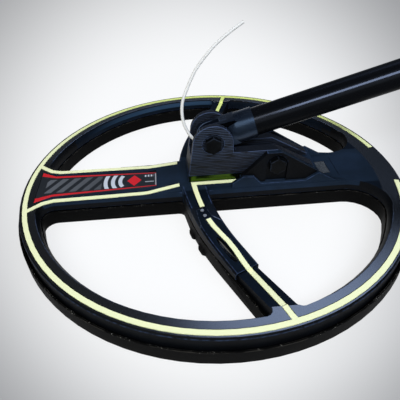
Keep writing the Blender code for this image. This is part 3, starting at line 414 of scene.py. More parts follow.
@dataclass(frozen=True)
class ShellTop(MouldedShell):
    """Upper side, painted lighter and bluer than the walls, with a satin rim, a bluer hub and dark arms."""

    # bluer, lighter hub deck: painted light
    deck: Colour = tint("16202C")
    deck_tone: Colour = tint("1E2B3D")
    rim: Colour = tint("05070A")
    # colour of the painted reflection on the far inner lip
    lip: Colour = tint("2A3F55")
    rim_mm: float = 121.6
    level_mm: float = 19.5
    tab_mm: Span = (111.5, 99.5)  # an arm's end on the rim, from the middle and aside
    hub_mm: float = 21.5
    lip_mm: float = 15.6

    def ground(self, s: Shader, share: Val) -> tuple[Input, Input]:
        """Tone each upper zone in painted light, paint a reflection on the lip, and give the rim the satin
        skin.

        Args:
            s: The shader.
            share: How much of each zone's second tone shows.

        Returns:
            The colour and the weight of the skin.
        """
        reach = s.x.reach(s.y)
        out, aside = self.tab_mm
        tab = reach.about(out, 0.5) * abs(s.y).about(aside, 0.5)
        rim = reach.about(self.rim_mm, 0.3).most(tab) * s.z.about(self.level_mm, 0.1)
        hub = abs(s.y).about(self.hub_mm, -0.5)
        # painted reflection: a lighter bluish band on the ring's far inner lip, to the left
        lip = s.facing(1).ramp(-0.55, -0.95) * s.z.about(self.lip_mm, 0.4)
        lip = lip * s.y.ramp(60.0, 90.0) * s.x.ramp(24.0, 12.0)
        # painted light: arms and deck lighter and bluer than the walls, the deck most
        arms, deck = s.paint(self.base, (share, self.tone)), s.paint(self.deck, (share, self.deck_tone))
        return s.paint(arms, (hub, deck), (lip, self.lip), (rim, self.rim)), rim


@dataclass(frozen=True)
class SkidPlastic(Finish):
    """Wear tray in matt polythene, scuffed below and dusty along its upper lip."""

    base: Colour = tint("060606")
    waxy: Colour = tint("0B0B0B")
    scuffed: Colour = tint("4B4843")
    dust: Colour = tint("B9B6AE")
    lip_mm: Span = (10.4, 11.3)

    def shade(self, s: Shader) -> None:
        """Waxy mottling, long scuffs below, and specks of dust at the lip.

        Args:
            s: The shader.
        """
        cloud, grain = s.noise(9.0, 4.0), s.noise(0.5)
        below, lip = s.facing(2).ramp(-0.55, -0.95), s.z.ramp(*self.lip_mm)
        along = s.noise(1.1, stretch=(0.09, 1.0, 1.0)).ramp(0.57, 0.70)
        across = s.noise(0.9, stretch=(1.0, 0.12, 1.0)).ramp(0.59, 0.72)
        scuff = (along + across) * s.noise(16.0).ramp(0.42, 0.62)
        speck = s.cells(1.9).ramp(0.16, 0.05) * s.noise(6.0).ramp(0.5, 0.64) * lip
        thread = s.noise(0.7).ramp(0.60, 0.70) * lip * s.noise(11.0).ramp(0.46, 0.60)
        edge_share = s.edge() * cloud.ramp(0.4, 0.7)
        colour = s.paint(
            self.base, (cloud * 0.45, self.waxy), (scuff * (below * 0.75 + 0.03), self.scuffed),
            (edge_share * 0.35, self.scuffed), ((speck * 0.5).most(thread * 0.3), self.dust),
        )
        s.surface(
            Base_Color=colour, Roughness=0.58 + (cloud - 0.5) * 0.16 + scuff * below * 0.15,
            Specular_IOR_Level=0.03, Normal=s.bump(grain - scuff * below * 1.5, 0.03),
        )


@dataclass(frozen=True)
class GlowInlay(Finish):
    """Pale yellow-green inlay with a phosphor in it, painted paler to the near side as painted light."""

    far_colour: Colour = tint("E9F58C")
    pale: Colour = tint("FBFDCB")
    soiled: Colour = tint("A9AE6A")
    # darker, greener colour of the inlay's rounded edges: painted shade
    side: Colour = tint("8FA33A")

    def shade(self, s: Shader) -> None:
        """Painted light to the near side, a little dirt, painted shade on the rounded edges, and a soft skin.

        Args:
            s: The shader.
        """
        # painted light: the inlay goes from its far colour to pale on the near side
        near_light = (s.y + s.x * 0.25).ramp(140.0, 10.0)
        cloud, dirt = s.noise(5.0, 3.0), s.noise(1.3, 4.0)
        colour = s.paint(
            self.far_colour, (near_light * 0.97 + (cloud - 0.5) * 0.10, self.pale),
            # painted shade on the rounded edges, broken into patches
            (dirt.ramp(0.66, 0.88) * 0.08, self.soiled), (s.edge() * dirt.ramp(0.3, 0.6) * 0.6, self.side),
        )
        s.surface(
            Base_Color=colour, Roughness=0.46 + (cloud - 0.5) * 0.14, Specular_IOR_Level=0.4,
            Normal=s.bump(s.noise(0.6), 0.012),
        )


@dataclass(frozen=True)
class PrintedLabel(Finish):
    """Dark film with red side bands, grey slanted bars, pale arcs and ticks: plain marks of no maker."""

    film: Colour = tint("1B1E22")
    film_tone: Colour = tint("23272D")
    red: Colour = tint("D01E28")
    grey: Colour = tint("5E6166")
    white: Colour = tint("C9CED6")
    front_mm: float = -127.0
    knee_mm: float = -115.0
    rear_mm: float = -39.6
    bars_mm: Span = (-121.0, -80.0)
    ticks_mm: Span = (-49.0, -41.5)
    rule_mm: Span = (-48.0, -41.5)
    centre_mm: float = -55.0
    arcs_mm: tuple[float, ...] = (10.0, 15.4, 20.8)
    arc_mm: float = 2.9

    def bands(self, s: Shader) -> Val:
        """Mark the red bands, which thin out to the rear.

        Args:
            s: The shader.

        Returns:
            1 on the bands.
        """
        near_rim = s.x.ramp(self.front_mm, self.knee_mm, even=True)
        along = s.x.ramp(self.knee_mm, self.rear_mm, even=True)
        middle = 16.6 - near_rim * 5.4 - along * 3.4
        half = 2.9 - near_rim * 1.75 - along * 0.85
        off = abs(abs(s.y) - middle) - half
        return off.about(0.0, -0.12) * s.x.ramp(self.rear_mm + 0.4, self.rear_mm + 0.1)

    def bars(self, s: Shader) -> Val:
        """Mark the slanted bars at the rim end, which fade to the rear."""
        bars = (s.x - s.y * 0.7).repeat(9.0).within(0.14, 0.70, 0.02) * s.x.within(*self.bars_mm, 0.1)
        return bars * abs(s.y).ramp(8.2, 7.9) * (0.95 - s.x.ramp(*self.bars_mm, even=True) * 0.4)

    def arcs(self, s: Shader) -> Val:
        """Mark the arcs that open to the front.

        Args:
            s: The shader.

        Returns:
            1 on the arcs.
        """
        run = s.x - self.centre_mm
        reach = run.reach(s.y)
        sector = (abs(s.y) + run * 0.7).about(0.0, -0.1) * abs(s.y).about(7.9, -0.1)
        first, *others = (reach.within(radius, radius + self.arc_mm, 0.08) for radius in self.arcs_mm)
        return sum(others, first) * sector

    def shade(self, s: Shader) -> None:
        """Print each mark over the film, under a thin clear coat with a few scratches.

        Args:
            s: The shader.
        """
        diamond = (abs(s.x - self.centre_mm + 1.0) + abs(s.y) * 0.8).about(5.3, -0.1)
        ticks = s.x.repeat(2.2).within(0.1, 0.6, 0.03) * s.x.within(*self.ticks_mm, 0.1)
        ticks = ticks * s.y.within(3.6, 6.0, 0.1)
        rule = s.x.within(*self.rule_mm, 0.1) * s.y.within(-3.0, -2.0, 0.08)
        end = s.x.within(self.rear_mm - 0.9, self.rear_mm - 0.1, 0.05) * abs(s.y).about(7.3, -0.1)
        scratch = s.noise(0.5, stretch=(0.1, 1.0, 1.0)).ramp(0.66, 0.74)
        cloud = s.noise(7.0, 3.0)
        colour = s.paint(
            self.film, (cloud * 0.4, self.film_tone), (self.bars(s), self.grey), (self.arcs(s), self.white),
            (ticks.most(rule * 0.6), self.white), (end * 0.75, self.white),
            (self.bands(s).most(diamond), self.red), (scratch * 0.10, self.white),
        )
        s.surface(
            Base_Color=colour, Roughness=0.42 + (cloud - 0.5) * 0.12 + scratch * 0.12,
            Specular_IOR_Level=0.4, Normal=s.bump(s.noise(0.9), 0.01),
        )


@dataclass(frozen=True)
class GritPatch(Finish):
    """Grey grip patch with a coarse grit."""

    base: Colour = tint("3A3E42")
    grit: Colour = tint("6B6F73")

    def shade(self, s: Shader) -> None:
        """Grit in two sizes, with dark pits.

        Args:
            s: The shader.
        """
        coarse, fine = s.cells(0.9).ramp(0.55, 0.12), s.noise(0.45, 3.0)
        s.surface(
            Base_Color=s.paint(self.base, (coarse * 0.6 + (fine - 0.5) * 0.6, self.grit)),
            Roughness=0.8 - coarse * 0.15, Specular_IOR_Level=0.25,
            Normal=s.bump(coarse + fine * 0.5, 0.16),
        )


@dataclass(frozen=True)
class LayerPrint(Finish):
    """Printed plastic, built up in uneven level layers."""

    base: Colour = tint("0B0D13")
    # lighter bluish colour of the layer ridges: painted highlight
    ridge: Colour = tint("38455B")
    edge_wear_and_highlight: Colour = tint("4C5E82")
    layer_mm: float = 1.28
    track_mm: float = 0.9

    def shade(self, s: Shader) -> None:
        """Broken layer lines with painted highlights on the upright faces, and filament tracks on the level
        ones.

        Args:
            s: The shader.
        """
        level = abs(s.facing(2)).ramp(0.75, 0.95)
        upright = 1 - level
        sway = s.noise(7.0, stretch=(0.6, 0.6, 1.2)) * 1.2
        ridge = (s.z + sway).repeat(self.layer_mm).within(0.24, 0.66, 0.14)
        broken = s.noise(3.4, stretch=(0.4, 0.4, 2.0)).ramp(0.30, 0.52)
        # painted light: the ridges are lighter high up and on the near ear's face, darker lower down
        high = (s.z.ramp(38.0, 47.0) * 0.5 + 0.5) * (s.y.ramp(-6.4, -7.4) * 0.55 + 0.45)
        tracks = (s.x + s.y).repeat(self.track_mm).within(0.25, 0.75, 0.2)
        light = upright * ridge * broken * high + level * tracks * 0.2
        s.surface(
            # the rounded edges take the lighter edge colour, partly scuffs and partly painted highlight
            Base_Color=s.paint(self.base, (light * 0.9, self.ridge), (s.edge() * broken * 0.5, self.edge_wear_and_highlight)),
            Roughness=0.55 - light * 0.1, Specular_IOR_Level=0.2,
            Normal=s.bump(upright * ridge + level * tracks * 0.5, 0.10),
        )


@dataclass(frozen=True)
class CloudedSkin(Finish):
    """Skin of one tone clouded with another, a fine grain, and lighter edges that are partly painted highlight.
    """

    base: Colour
    cloud: Colour
    cloud_mm: float = 6.0
    cloud_detail: float = 4.0
    cloud_span: Span = (0.4, 0.8)
    cloud_share: float = 0.6
    edge_wear_and_highlight: Colour | None = None
    gloss: float = 0.44
    uneven: float = 0.18
    shine: float = 0.06
    sheen: Colour = WHITE
    metal: float = 0.0
    grain_mm: float = 0.4
    grain_detail: float = 3.0
    depth_mm: float = 0.02

    def shade(self, s: Shader) -> None:
        """Clouds in the colour and in the gloss, and a grain.

        Args:
            s: The shader.
        """
        cloud = s.noise(self.cloud_mm, self.cloud_detail)
        colour = s.paint(self.base, (cloud.ramp(*self.cloud_span) * self.cloud_share, self.cloud))
        if self.edge_wear_and_highlight is not None:
            # the rounded edges are lighter: partly scuffs, partly a painted highlight
            colour = s.paint(colour, (s.edge() * cloud.ramp(0.3, 0.65) * 0.45, self.edge_wear_and_highlight))
        s.surface(
            Base_Color=colour, Roughness=self.gloss + (cloud - 0.5) * self.uneven, Metallic=self.metal,
            Specular_IOR_Level=self.shine, Specular_Tint=self.sheen,
            Normal=s.bump(s.noise(self.grain_mm, self.grain_detail), self.depth_mm),
        )


@dataclass(frozen=True)
class GlossTube(Finish):
    """Gloss black lacquer over the wound tube of the stem."""

    base: Colour = tint("07080A")
    tone: Colour = tint("0D0F13")
    dust: Colour = tint("4A4E56")
    sheen: Colour = (0.66, 0.76, 1.0, 1.0)
    sheen_band_mm: Span = (3.6, 8.7)  # painted sheen: glossier and bluer above the stem's axis, where the highlight falls
    ring_mm: float = 2.4

    def shade(self, s: Shader) -> None:
        """Lacquer with faint draw lines, a little dust and a painted sheen, glossier and bluer, on its
        shoulders.

        Args:
            s: The shader.
        """
        rise, run = math.sin(STEM_TILT), math.cos(STEM_TILT)
        height = (s.z - STEM_PIVOT[2] * MM) * run - (s.x - STEM_PIVOT[0] * MM) * rise
        turn = (s.x * run + s.z * rise) / self.ring_mm * math.tau
        cloud = s.noise(12.0, 3.0)
        dust = s.cells(3.2).ramp(0.06, 0.02) * s.noise(15.0).ramp(0.5, 0.65)
        colour = s.paint(self.base, (cloud * 0.5, self.tone), (dust * 0.35, self.dust))
        normal = s.bump(turn.math("SINE", turn) * 0.1 + s.noise(1.4), 0.002)
        dull = s.surface(
            Base_Color=colour, Roughness=0.3 + cloud * 0.1, Specular_IOR_Level=0.04, Normal=normal,
        )
        bright = s.surface(
            Base_Color=colour, Roughness=0.13 + (cloud - 0.5) * 0.04 + dust * 0.3,
            Specular_IOR_Level=0.32, Specular_Tint=self.sheen, Normal=normal,
        )
        s.two_surfaces(height.within(*self.sheen_band_mm, 0.9), dull, bright)


@dataclass(frozen=True)
class BareMetal(Finish):
    """Bright metal of the contacts, the spring and the screen."""

    base: Colour = tint("B9BBBE")
    tarnish: Colour = tint("7B7C7E")
    gloss: float = 0.28
    metal: float = 1.0

    def shade(self, s: Shader) -> None:
        """Fine drawn lines and a slight tarnish.

        Args:
            s: The shader.
        """
        drawn, cloud = s.noise(0.2, stretch=(0.15, 1.0, 1.0)), s.noise(1.5, 3.0)
        s.surface(
            Base_Color=s.paint(self.base, (cloud.ramp(0.45, 0.8) * 0.4, self.tarnish)), Metallic=self.metal,
            Roughness=self.gloss + (cloud - 0.5) * 0.15 + (drawn - 0.5) * 0.1,
            Normal=s.bump(drawn, 0.006),
        )


@dataclass(frozen=True)
class Enamel(Finish):
    """Enamelled copper of the windings."""

    base: Colour = tint("8E4A22")
    # painted shade in the gaps between the turns
    between: Colour = tint("3F1E0E")
    wire_mm: float = 0.45

    def shade(self, s: Shader) -> None:
        """Turns of wire laid side by side, with painted shade in the gaps between them.

        Args:
            s: The shader.
        """
        turns = (s.z + s.noise(20.0) * 0.3).repeat(self.wire_mm).within(0.2, 0.8, 0.2)
        cloud = s.noise(4.0, 3.0)
        s.surface(
            Base_Color=s.paint(self.between, (turns * 0.7 + cloud * 0.3, self.base)), Metallic=0.6,
            Roughness=0.34 + (cloud - 0.5) * 0.12, Normal=s.bump(turns, 0.08),
        )


@dataclass(frozen=True)
class CircuitGreen(Finish):
    """Solder mask of the circuit board, with its tracks."""

    base: Colour = tint("12452B")
    track: Colour = tint("2B7A4B")
    pad: Colour = tint("B9A25A")

    def shade(self, s: Shader) -> None:
        """Tracks that run both ways, with small pads.

        Args:
            s: The shader.
        """
        tracks = s.x.repeat(2.2).within(0.4, 0.55, 0.03).most(s.y.repeat(3.1).within(0.45, 0.57, 0.03))
        pads = s.cells(2.6).ramp(0.2, 0.16)
        bare = tracks * s.noise(9.0).ramp(0.45, 0.5)
        s.surface(
            Base_Color=s.paint(self.base, (bare * 0.5, self.track), (pads, self.pad)), Metallic=pads,
            Roughness=0.35 + s.noise(3.0) * 0.1, Normal=s.bump(tracks.most(pads), 0.03),
        )


SHELL = MouldedShell("moulded_shell")
# faces that look up take a lighter, bluer copy of the shell: painted light
SHELL_TOP = ShellTop(
    "moulded_shell_top", base=tint("0A1018"), tone=tint("0F1823"), edge_wear_and_highlight=tint("44557A"),
    gloss=0.5, shine=0.05, sheen=(0.6, 0.76, 1.0, 1.0),
)
# skins beside the contacts: their end rows take a bright bluish edge colour, a painted highlight
SHELL_SEAM = MouldedShell(
    "moulded_shell_seam", base=tint("0A1018"), tone=tint("0F1823"), edge_wear_and_highlight=tint("93A6C8"), gloss=0.5, shine=0.12,
)
# green-tinted gloss on a green-black base at the plinth's foot: a painted reflection of the inlay
SHELL_FOOT = MouldedShell(
    "moulded_shell_foot", base=tint("040603"), tone=tint("060904"), gloss=0.2, shine=1.0,
    sheen=(0.42, 0.86, 0.06, 1.0),
)
# darker base in the lid's scoop: painted shade in the hollow
SHELL_SCOOP = MouldedShell(
    "moulded_shell_scoop", base=tint("020304"), tone=tint("040608"), gloss=0.2, shine=0.5, grain_mm=0.005,
)
SKID = SkidPlastic("skid_plastic")
INLAY = GlowInlay("glow_inlay")
LABEL = PrintedLabel("printed_label")
PATCH = GritPatch("grit_patch")
PRINTED = LayerPrint("layer_print")
# the lighter edge colours of these nylon finishes are partly scuffs, partly a painted highlight
NYLON = CloudedSkin("black_nylon", tint("060708"), tint("121519"), edge_wear_and_highlight=tint("343D4D"))
FORK_NYLON = CloudedSkin(
    "fork_nylon", tint("0A0F18"), tint("121519"), edge_wear_and_highlight=tint("7488AC"), gloss=0.3, shine=0.6,
    sheen=(0.38, 0.60, 1.0, 1.0), grain_mm=0.6,
)
# darker and dull in the fork's notches: painted shade
NOTCH_NYLON = CloudedSkin("notch_nylon", tint("020305"), tint("121519"), edge_wear_and_highlight=tint("0A0D12"), shine=0.0)
RUBBER = CloudedSkin(
    "soft_rubber", tint("15161A"), tint("34363B"), cloud_mm=3.0, cloud_span=(0.45, 0.8), cloud_share=0.5,
    gloss=0.78, uneven=0.2, shine=0.3, grain_mm=0.3, grain_detail=2.0,
)
SLEEVE = CloudedSkin(
    "white_sleeve", tint("E3E2DE"), tint("C2C1B8"), cloud_mm=3.5, cloud_detail=3.0, cloud_span=(0.5, 0.85),
    cloud_share=0.5, uneven=0.12, shine=0.3, grain_mm=0.8, grain_detail=2.0, depth_mm=0.004,
)
FOIL = CloudedSkin(
    "cell_foil", tint("9FA3A8"), tint("6E7278"), cloud_mm=4.0, cloud_detail=5.0, cloud_span=(0.4, 0.7),
    cloud_share=0.5, gloss=0.36, uneven=0.2, shine=0.5, metal=0.9, grain_mm=4.0, grain_detail=5.0, depth_mm=0.2,
)
LACQUER = GlossTube("gloss_tube")
METAL = BareMetal("bare_metal")
STUD = BareMetal("contact_stud", base=tint("8E95A0"), gloss=0.4, metal=0.3)
SPRING_STEEL = BareMetal("spring_steel", base=tint("8F9296"), gloss=0.34)
ENAMEL = Enamel("enamel_copper")
BOARD = CircuitGreen("circuit_green")


def whole_copy(node: str) -> Shape:
    """Copy a solid, with its loose triangles merged and its flats made whole.

    Args:
        node: Name of the CAD node.

    Returns:
        The mesh, in the row frame.
    """
    shape = bmesh.new()
    shape.from_mesh(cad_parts[node].data)
    bmesh.ops.remove_doubles(shape, verts=shape.verts[:], dist=MERGE)
    bmesh.ops.dissolve_limit(
        shape, angle_limit=FLAT, use_dissolve_boundaries=False,
        verts=shape.verts[:], edges=shape.edges[:], delimit=set(),
    )
    return shape


def gap(point: Vector, start: Vector, end: Vector) -> float:
    """Measure from a point to a stretch.

    Args:
        point: The point.
        start: One end of the stretch.
        end: Its other end.

    Returns:
        The distance.
    """
    if (end - start).length < TINY:
        return (point - start).length
    near, share = intersect_point_line(point, start, end)
    return (point - (start if share < 0 else end if share > 1 else near)).length


def has_room(edge: bmesh.types.BMEdge, width: float) -> bool:
    """Say whether an edge can be rounded without running into another one.

    Args:
        edge: The edge.
        width: How far the rounding reaches on each side.

    Returns:
        Whether both faces leave that room.
    """
    a, b = (v.co for v in edge.verts)
    for other in (e for face in edge.link_faces for e in face.edges if e is not edge):
        c, d = (v.co for v in other.verts)
        shared = [v for v in other.verts if v in edge.verts]
        if not shared:
            if min(gap(c, a, b), gap(d, a, b), gap(a, c, d), gap(b, c, d)) < ROOM * width:
                return False
        elif len(shared) == 1:
            corner = shared[0]
            way, side = (e.other_vert(corner).co - corner.co for e in (edge, other))
            if side.length < TINY or way.angle(side, 0.0) < NARROW:
                return False
    return True


def round_edges(shape: Shape, width: float) -> int:
    """Round the outer edges of a shape where they have room, and mark the new faces.

    Args:
        shape: The shape, which is changed.
        width: How far the rounding reaches on each side of an edge.

    Returns:
        How many edges were rounded.
    """
    mark = shape.faces.layers.float.new(EDGE_MARK)
    chosen = [
        e for e in shape.edges
        if e.is_manifold and e.is_convex and e.calc_length() > SHORTEST * width
        and ROUNDED[0] < e.calc_face_angle(0.0) < ROUNDED[1] and has_room(e, width)
    ]
    if chosen:
        made = bmesh.ops.bevel(
            shape, geom=chosen, offset=width, offset_type="OFFSET", segments=2, profile=0.5,
            affect="EDGES", clamp_overlap=False, loop_slide=True, material=-1,
        )
        for face in made["faces"]:
            face[mark] = 1.0
    return len(chosen)


def new_object(name: str, data: bpy.types.ID | Shape) -> Object:
    """Add an object to the scene.

    Args:
        name: Its name.
        data: Its curve, lamp or camera, or its shape, which becomes a mesh and is freed.

    Returns:
        The object, at the origin.
    """
    if isinstance(data, Shape):
        shape, data = data, bpy.data.meshes.new(name)
        shape.to_mesh(data)
        shape.free()
    made = bpy.data.objects.new(name, data)
    bpy.context.scene.collection.objects.link(made)
    return made


def as_piece(shape: Shape, name: str) -> Object:
    """Make a piece of a mesh, smooth but for its sharp edges.

    Args:
        shape: The mesh, which is freed.
        name: The piece's name.

    Returns:
        The piece.
    """
    piece = new_object(name, shape)
    piece.data.shade_smooth()
    piece.data.set_sharp_from_angle(angle=SHARP)
    piece.modifiers.new("flat_faces_lead", "WEIGHTED_NORMAL").keep_sharp = True
    return piece


def rounded_piece(node: str, width: float, name: str) -> Object:
    """Make a piece of a solid with rounded edges, or with its own where the rounding doesn't close.

    Args:
        node: Name of the CAD node.
        width: How far the rounding reaches on each side of an edge.
        name: The piece's name.

    Returns:
        The piece.
    """
    shape = whole_copy(node)
    before = shape.calc_volume()
    count = round_edges(shape, width)
    closed = all(e.is_manifold for e in shape.edges)
    if closed and abs(shape.calc_volume() - before) <= MOST_LOST * before:
        LOG.info("%s: %d edges rounded", node, count)
    else:
        LOG.warning("%s keeps its edges: closed %s", node, closed)
        shape.free()
        shape = whole_copy(node)
    return as_piece(shape, name)


def stretched_grid(rows: list[list[Vector]]) -> Shape:
    """Stretch a grid over rows of spots.

    Args:
        rows: The spots, with as many in each row.

    Returns:
        The grid, with its faces in the order of the rows.
    """
    shape = bmesh.new()
    bmesh.ops.create_grid(shape, x_segments=len(rows[0]) - 1, y_segments=len(rows) - 1, size=1.0)
    for vert, spot in zip(shape.verts, (spot for row in rows for spot in row)):
        vert.co = spot
    shape.normal_update()
    return shape


def thin_piece(shape: Shape, depth: float, name: str) -> Object:
    """Make a piece of an upper side, with its thickness below it.

    Args:
        shape: The upper side, which is freed.
        depth: Its thickness.
        name: The piece's name.

    Returns:
        The piece.
    """
    made = bmesh.ops.extrude_face_region(shape, geom=shape.faces[:])
    lower = [v for v in made["geom"] if isinstance(v, bmesh.types.BMVert)]
    bmesh.ops.translate(shape, vec=(0.0, 0.0, -depth), verts=lower)
    bmesh.ops.recalc_face_normals(shape, faces=shape.faces[:])
    return as_piece(shape, name)


def carve(piece: Object, cutter: Shape) -> None:
    """Cut a shape from a piece's mesh.

    Args:
        piece: The piece, whose mesh is replaced.
        cutter: What is cut away, which is freed.
    """
    tool = new_object("cutter", cutter)
    step = piece.modifiers.new("carve", "BOOLEAN")
    step.operation, step.solver, step.object = "DIFFERENCE", "EXACT", tool
    piece.update_tag()
    graph = bpy.context.evaluated_depsgraph_get()
    graph.update()
    result = bpy.data.meshes.new_from_object(piece.evaluated_get(graph), depsgraph=graph)
    piece.modifiers.remove(step)
    piece.data = result
    bpy.data.objects.remove(tool)


def settle(piece: Object, body: Body, finish: Finish, stands_for: str = "") -> None:
    """Give a piece its body and finish, and report it.

    Args:
        piece: The piece.
        body: What it moves with.
        finish: Its finish.
        stands_for: CAD node that it stands for, if any.
    """
    piece.data.materials.clear()
    piece.data.materials.append(finish.material())
    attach(piece, body.value)
    if stands_for:
        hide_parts(stands_for)
    LOG.info("%s in %s on %s", piece.name, finish.name, body.value)


def second_tone(piece: Object, finish: Finish, chosen: Callable[[Face], bool]) -> None:
    """Give some faces of a piece another finish.

    Args:
        piece: The piece, which has its first finish.
        finish: The other finish.
        chosen: Says whether a face takes it.
    """
    piece.data.materials.append(finish.material())
    place = len(piece.data.materials) - 1
    for face in piece.data.polygons:
        if chosen(face):
            face.material_index = place


def dress_node(node: str, finish: Finish) -> None:
    """Give a CAD node that keeps its shape a finish.

    Args:
        node: Name of the node.
        finish: Its finish.
    """
    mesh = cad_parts[node].data
    mesh.materials.clear()
    mesh.materials.append(finish.material())
    LOG.info("%s keeps its shape, in %s", node, finish.name)


def faces_up(face: Face) -> bool:
    """Say whether a face looks up."""
    return face.normal.z > UPWARD


@dataclass(frozen=True)
class Cover:
    """A finished piece that stands for a solid."""

    node: str
    piece: str
    rounding: float
    slot: Slot
    finish: Finish
    body: Body = Body.COIL


@dataclass
class Assembly:
    """Solids that get a finished piece, and solids that keep their shape."""

    covers: tuple[Cover, ...] = ()
    kept: tuple[tuple[str, Finish], ...] = ()
    pieces: dict[str, Object] = field(default_factory=dict)

    def build(self) -> None:
        """Make the finished pieces."""
        for cover in self.covers:
            self.pieces[cover.piece] = rounded_piece(cover.node, cover.rounding, cover.piece)

    def dress(self) -> None:
        """Give every piece and every solid that keeps its shape its finish."""
        for cover in self.covers:
            settle(self.pieces[cover.piece], cover.body, cover.finish, cover.node)
        for node, finish in self.kept:
            dress_node(node, finish)


@dataclass
class Coil(Assembly):
    """Shell, wear tray and base of the coil."""

    covers: tuple[Cover, ...] = (
        Cover("coil_housing", "shell_moulding", 0.0004, Slot.SHELL, SHELL),
        Cover("skid_plate", "skid_tray", 0.00035, Slot.SKID, SKID),
    )
    kept: tuple[tuple[str, Finish], ...] = (("coil_base", SHELL),)
    plinth_levels: Span = (0.0232, 0.0290)
    plinth_half: float = 0.0140
    plinth_end: float = 0.040
    spoke_sides: Span = (0.0125, 0.0215)  # from the X axis
    spoke_levels: Span = (0.017, 0.0285)
    overhang: float = -0.1  # upward part of the direction of a spoke's side
    lip_radius: float = 0.124
    lip_slack: float = 0.002
    lip_from: float = 0.06  # along Y
    lip_level: float = 0.0115

    def at_plinth_foot(self, face: Face) -> bool:
        """Say whether a face is an upright side of the plinth above the deck.

        Args:
            face: A face of the shell.

        Returns:
            Whether it is.
        """
        spot, (low, high) = face.center, self.plinth_levels
        inside = abs(spot.y) < self.plinth_half and spot.x < self.plinth_end
        return abs(face.normal.y) > UPRIGHT and low < spot.z < high and inside

    def in_upper_tone(self, face: Face) -> bool:
        """Say whether a face has the finish of the upper side.

        Args:
            face: A face of the shell.

        Returns:
            Whether it looks up, or is on the side of a spoke, deck or sill, or on the ring's inner lip.
        """
        spot, (inner, outer), (low, high) = face.center, self.spoke_sides, self.spoke_levels
        # sides of spokes, deck and sills take the lighter upper tone too: painted light where shade falls
        on_side = inner < abs(spot.y) < outer and low < spot.z < high and face.normal.z > self.overhang
        on_wall = abs(math.hypot(spot.x, spot.y) - self.lip_radius) < self.lip_slack
        # the far inner lip takes the upper finish, which holds its painted reflection
        return faces_up(face) or on_side or on_wall and spot.y > self.lip_from and spot.z > self.lip_level

    def dress(self) -> None:
        """Dress the pieces, the upper side in a painted-light tone, the plinth's foot with a painted
        reflection.
        """
        super().dress()
        second_tone(self.pieces["shell_moulding"], SHELL_TOP, self.in_upper_tone)
        second_tone(self.pieces["shell_moulding"], SHELL_FOOT, self.at_plinth_foot)


@dataclass
class Trim(Assembly):
    """Inlays, label and patch on the coil."""

    covers: tuple[Cover, ...] = (
        *(Cover(node, f"{node}_inlay", 0.00012, Slot.STRIPE, INLAY) for node in (
            "rim_stripe", "front_stripe_near", "front_stripe_far", "hub_stripe_near", "hub_stripe_far",
            "module_stripe_near", "module_stripe_far", "leg_stripe_near", "leg_stripe_far",
            "tab_stripe_near", "tab_stripe_far",
        )),
        Cover("label_panel", "label_panel_inlay", 0.00012, Slot.LABEL, LABEL),
        Cover("rear_patch", "rear_patch_inlay", 0.00012, Slot.PATCH, PATCH),
    )
    leg_deg: float = 25.4
    front_lean: float = 0.3  # sideways part of the way to the front stripe's end
    step_reach: float = 0.0004  # a link runs this far past the edge of a step
    into_rim: float = 0.0024  # a spoke's or tab's stripe runs on to the rim's stripe
    sunk: float = 0.00006  # and ends under its top
    lap: float = 0.00016  # a link starts this far over the end of a stripe
    lift: float = 0.00003  # and this far above it
    thickness: float = 0.0004
    links: list[Object] = field(default_factory=list)

    def end(self, node: str, way: Vector) -> list[Vector]:
        """Find the upper corners at one end of a stripe.

        Args:
            node: The stripe's CAD node.
            way: Direction in which that end lies.

        Returns:
            Both corners, the left one first for an eye that looks that way.
        """
        shape = whole_copy(node)
        last = sorted((v.co.copy() for v in shape.verts), key=way.dot)[-4:]
        shape.free()
        left = Vector((-way.y, way.x, 0.0))
        return sorted(sorted(last, key=lambda c: c.z)[2:], key=left.dot, reverse=True)

    def link(self, name: str, *rows: tuple[list[Vector], Vector]) -> None:
        """Make a thin strip through pairs of corners, and keep it with the links.

        Args:
            name: The piece's name.
            rows: Pairs of corners of its upper side, each with how far they are moved.
        """
        up = Vector((0.0, 0.0, self.lift))
        right, left = ([pair[side] + move + up for pair, move in rows] for side in (1, 0))
        self.links.append(thin_piece(stretched_grid([right, left]), self.thickness, name))

    def build_links(self) -> None:
        """Join the stripes over the steps of the arm and at the rim, as the eye sees them."""
        lean, sunk = math.radians(self.leg_deg), Vector((0.0, 0.0, self.sunk))
        for hand, side in (("near", -1.0), ("far", 1.0)):
            way = Vector((math.sin(lean), side * math.cos(lean), 0.0))
            over, lap = way * self.step_reach, way * self.lap
            module, leg = self.end(f"module_stripe_{hand}", way), self.end(f"leg_stripe_{hand}", -way)[::-1]
            self.link(f"module_step_{hand}", (module, -lap), (module, over), (leg, lap))
            leg, tab = self.end(f"leg_stripe_{hand}", way), self.end(f"tab_stripe_{hand}", -way)[::-1]
            self.link(f"tab_step_{hand}", (leg, -lap), (tab, -over), (tab, lap))
            tab = self.end(f"tab_stripe_{hand}", way)
            self.link(f"tab_joint_{hand}", (tab, -lap), (tab, way * self.into_rim - sunk))
            front = self.end(f"front_stripe_{hand}", Vector((-1.0, side * self.front_lean, 0.0)))
            across = front[0] - front[1]
            out = Vector((-across.y, across.x, 0.0)).normalized()
            out = out if out.x < 0 else -out
            self.link(f"spoke_joint_{hand}", (front, -out * self.lap), (front, out * self.into_rim - sunk))

    def build(self) -> None:
        """Make each inlay with softened edges, and the links between them."""
        super().build()
        self.build_links()

    def dress(self) -> None:
        """Give the inlays and the links their finishes."""
        super().dress()
        for link in self.links:
            settle(link, Body.COIL, INLAY)


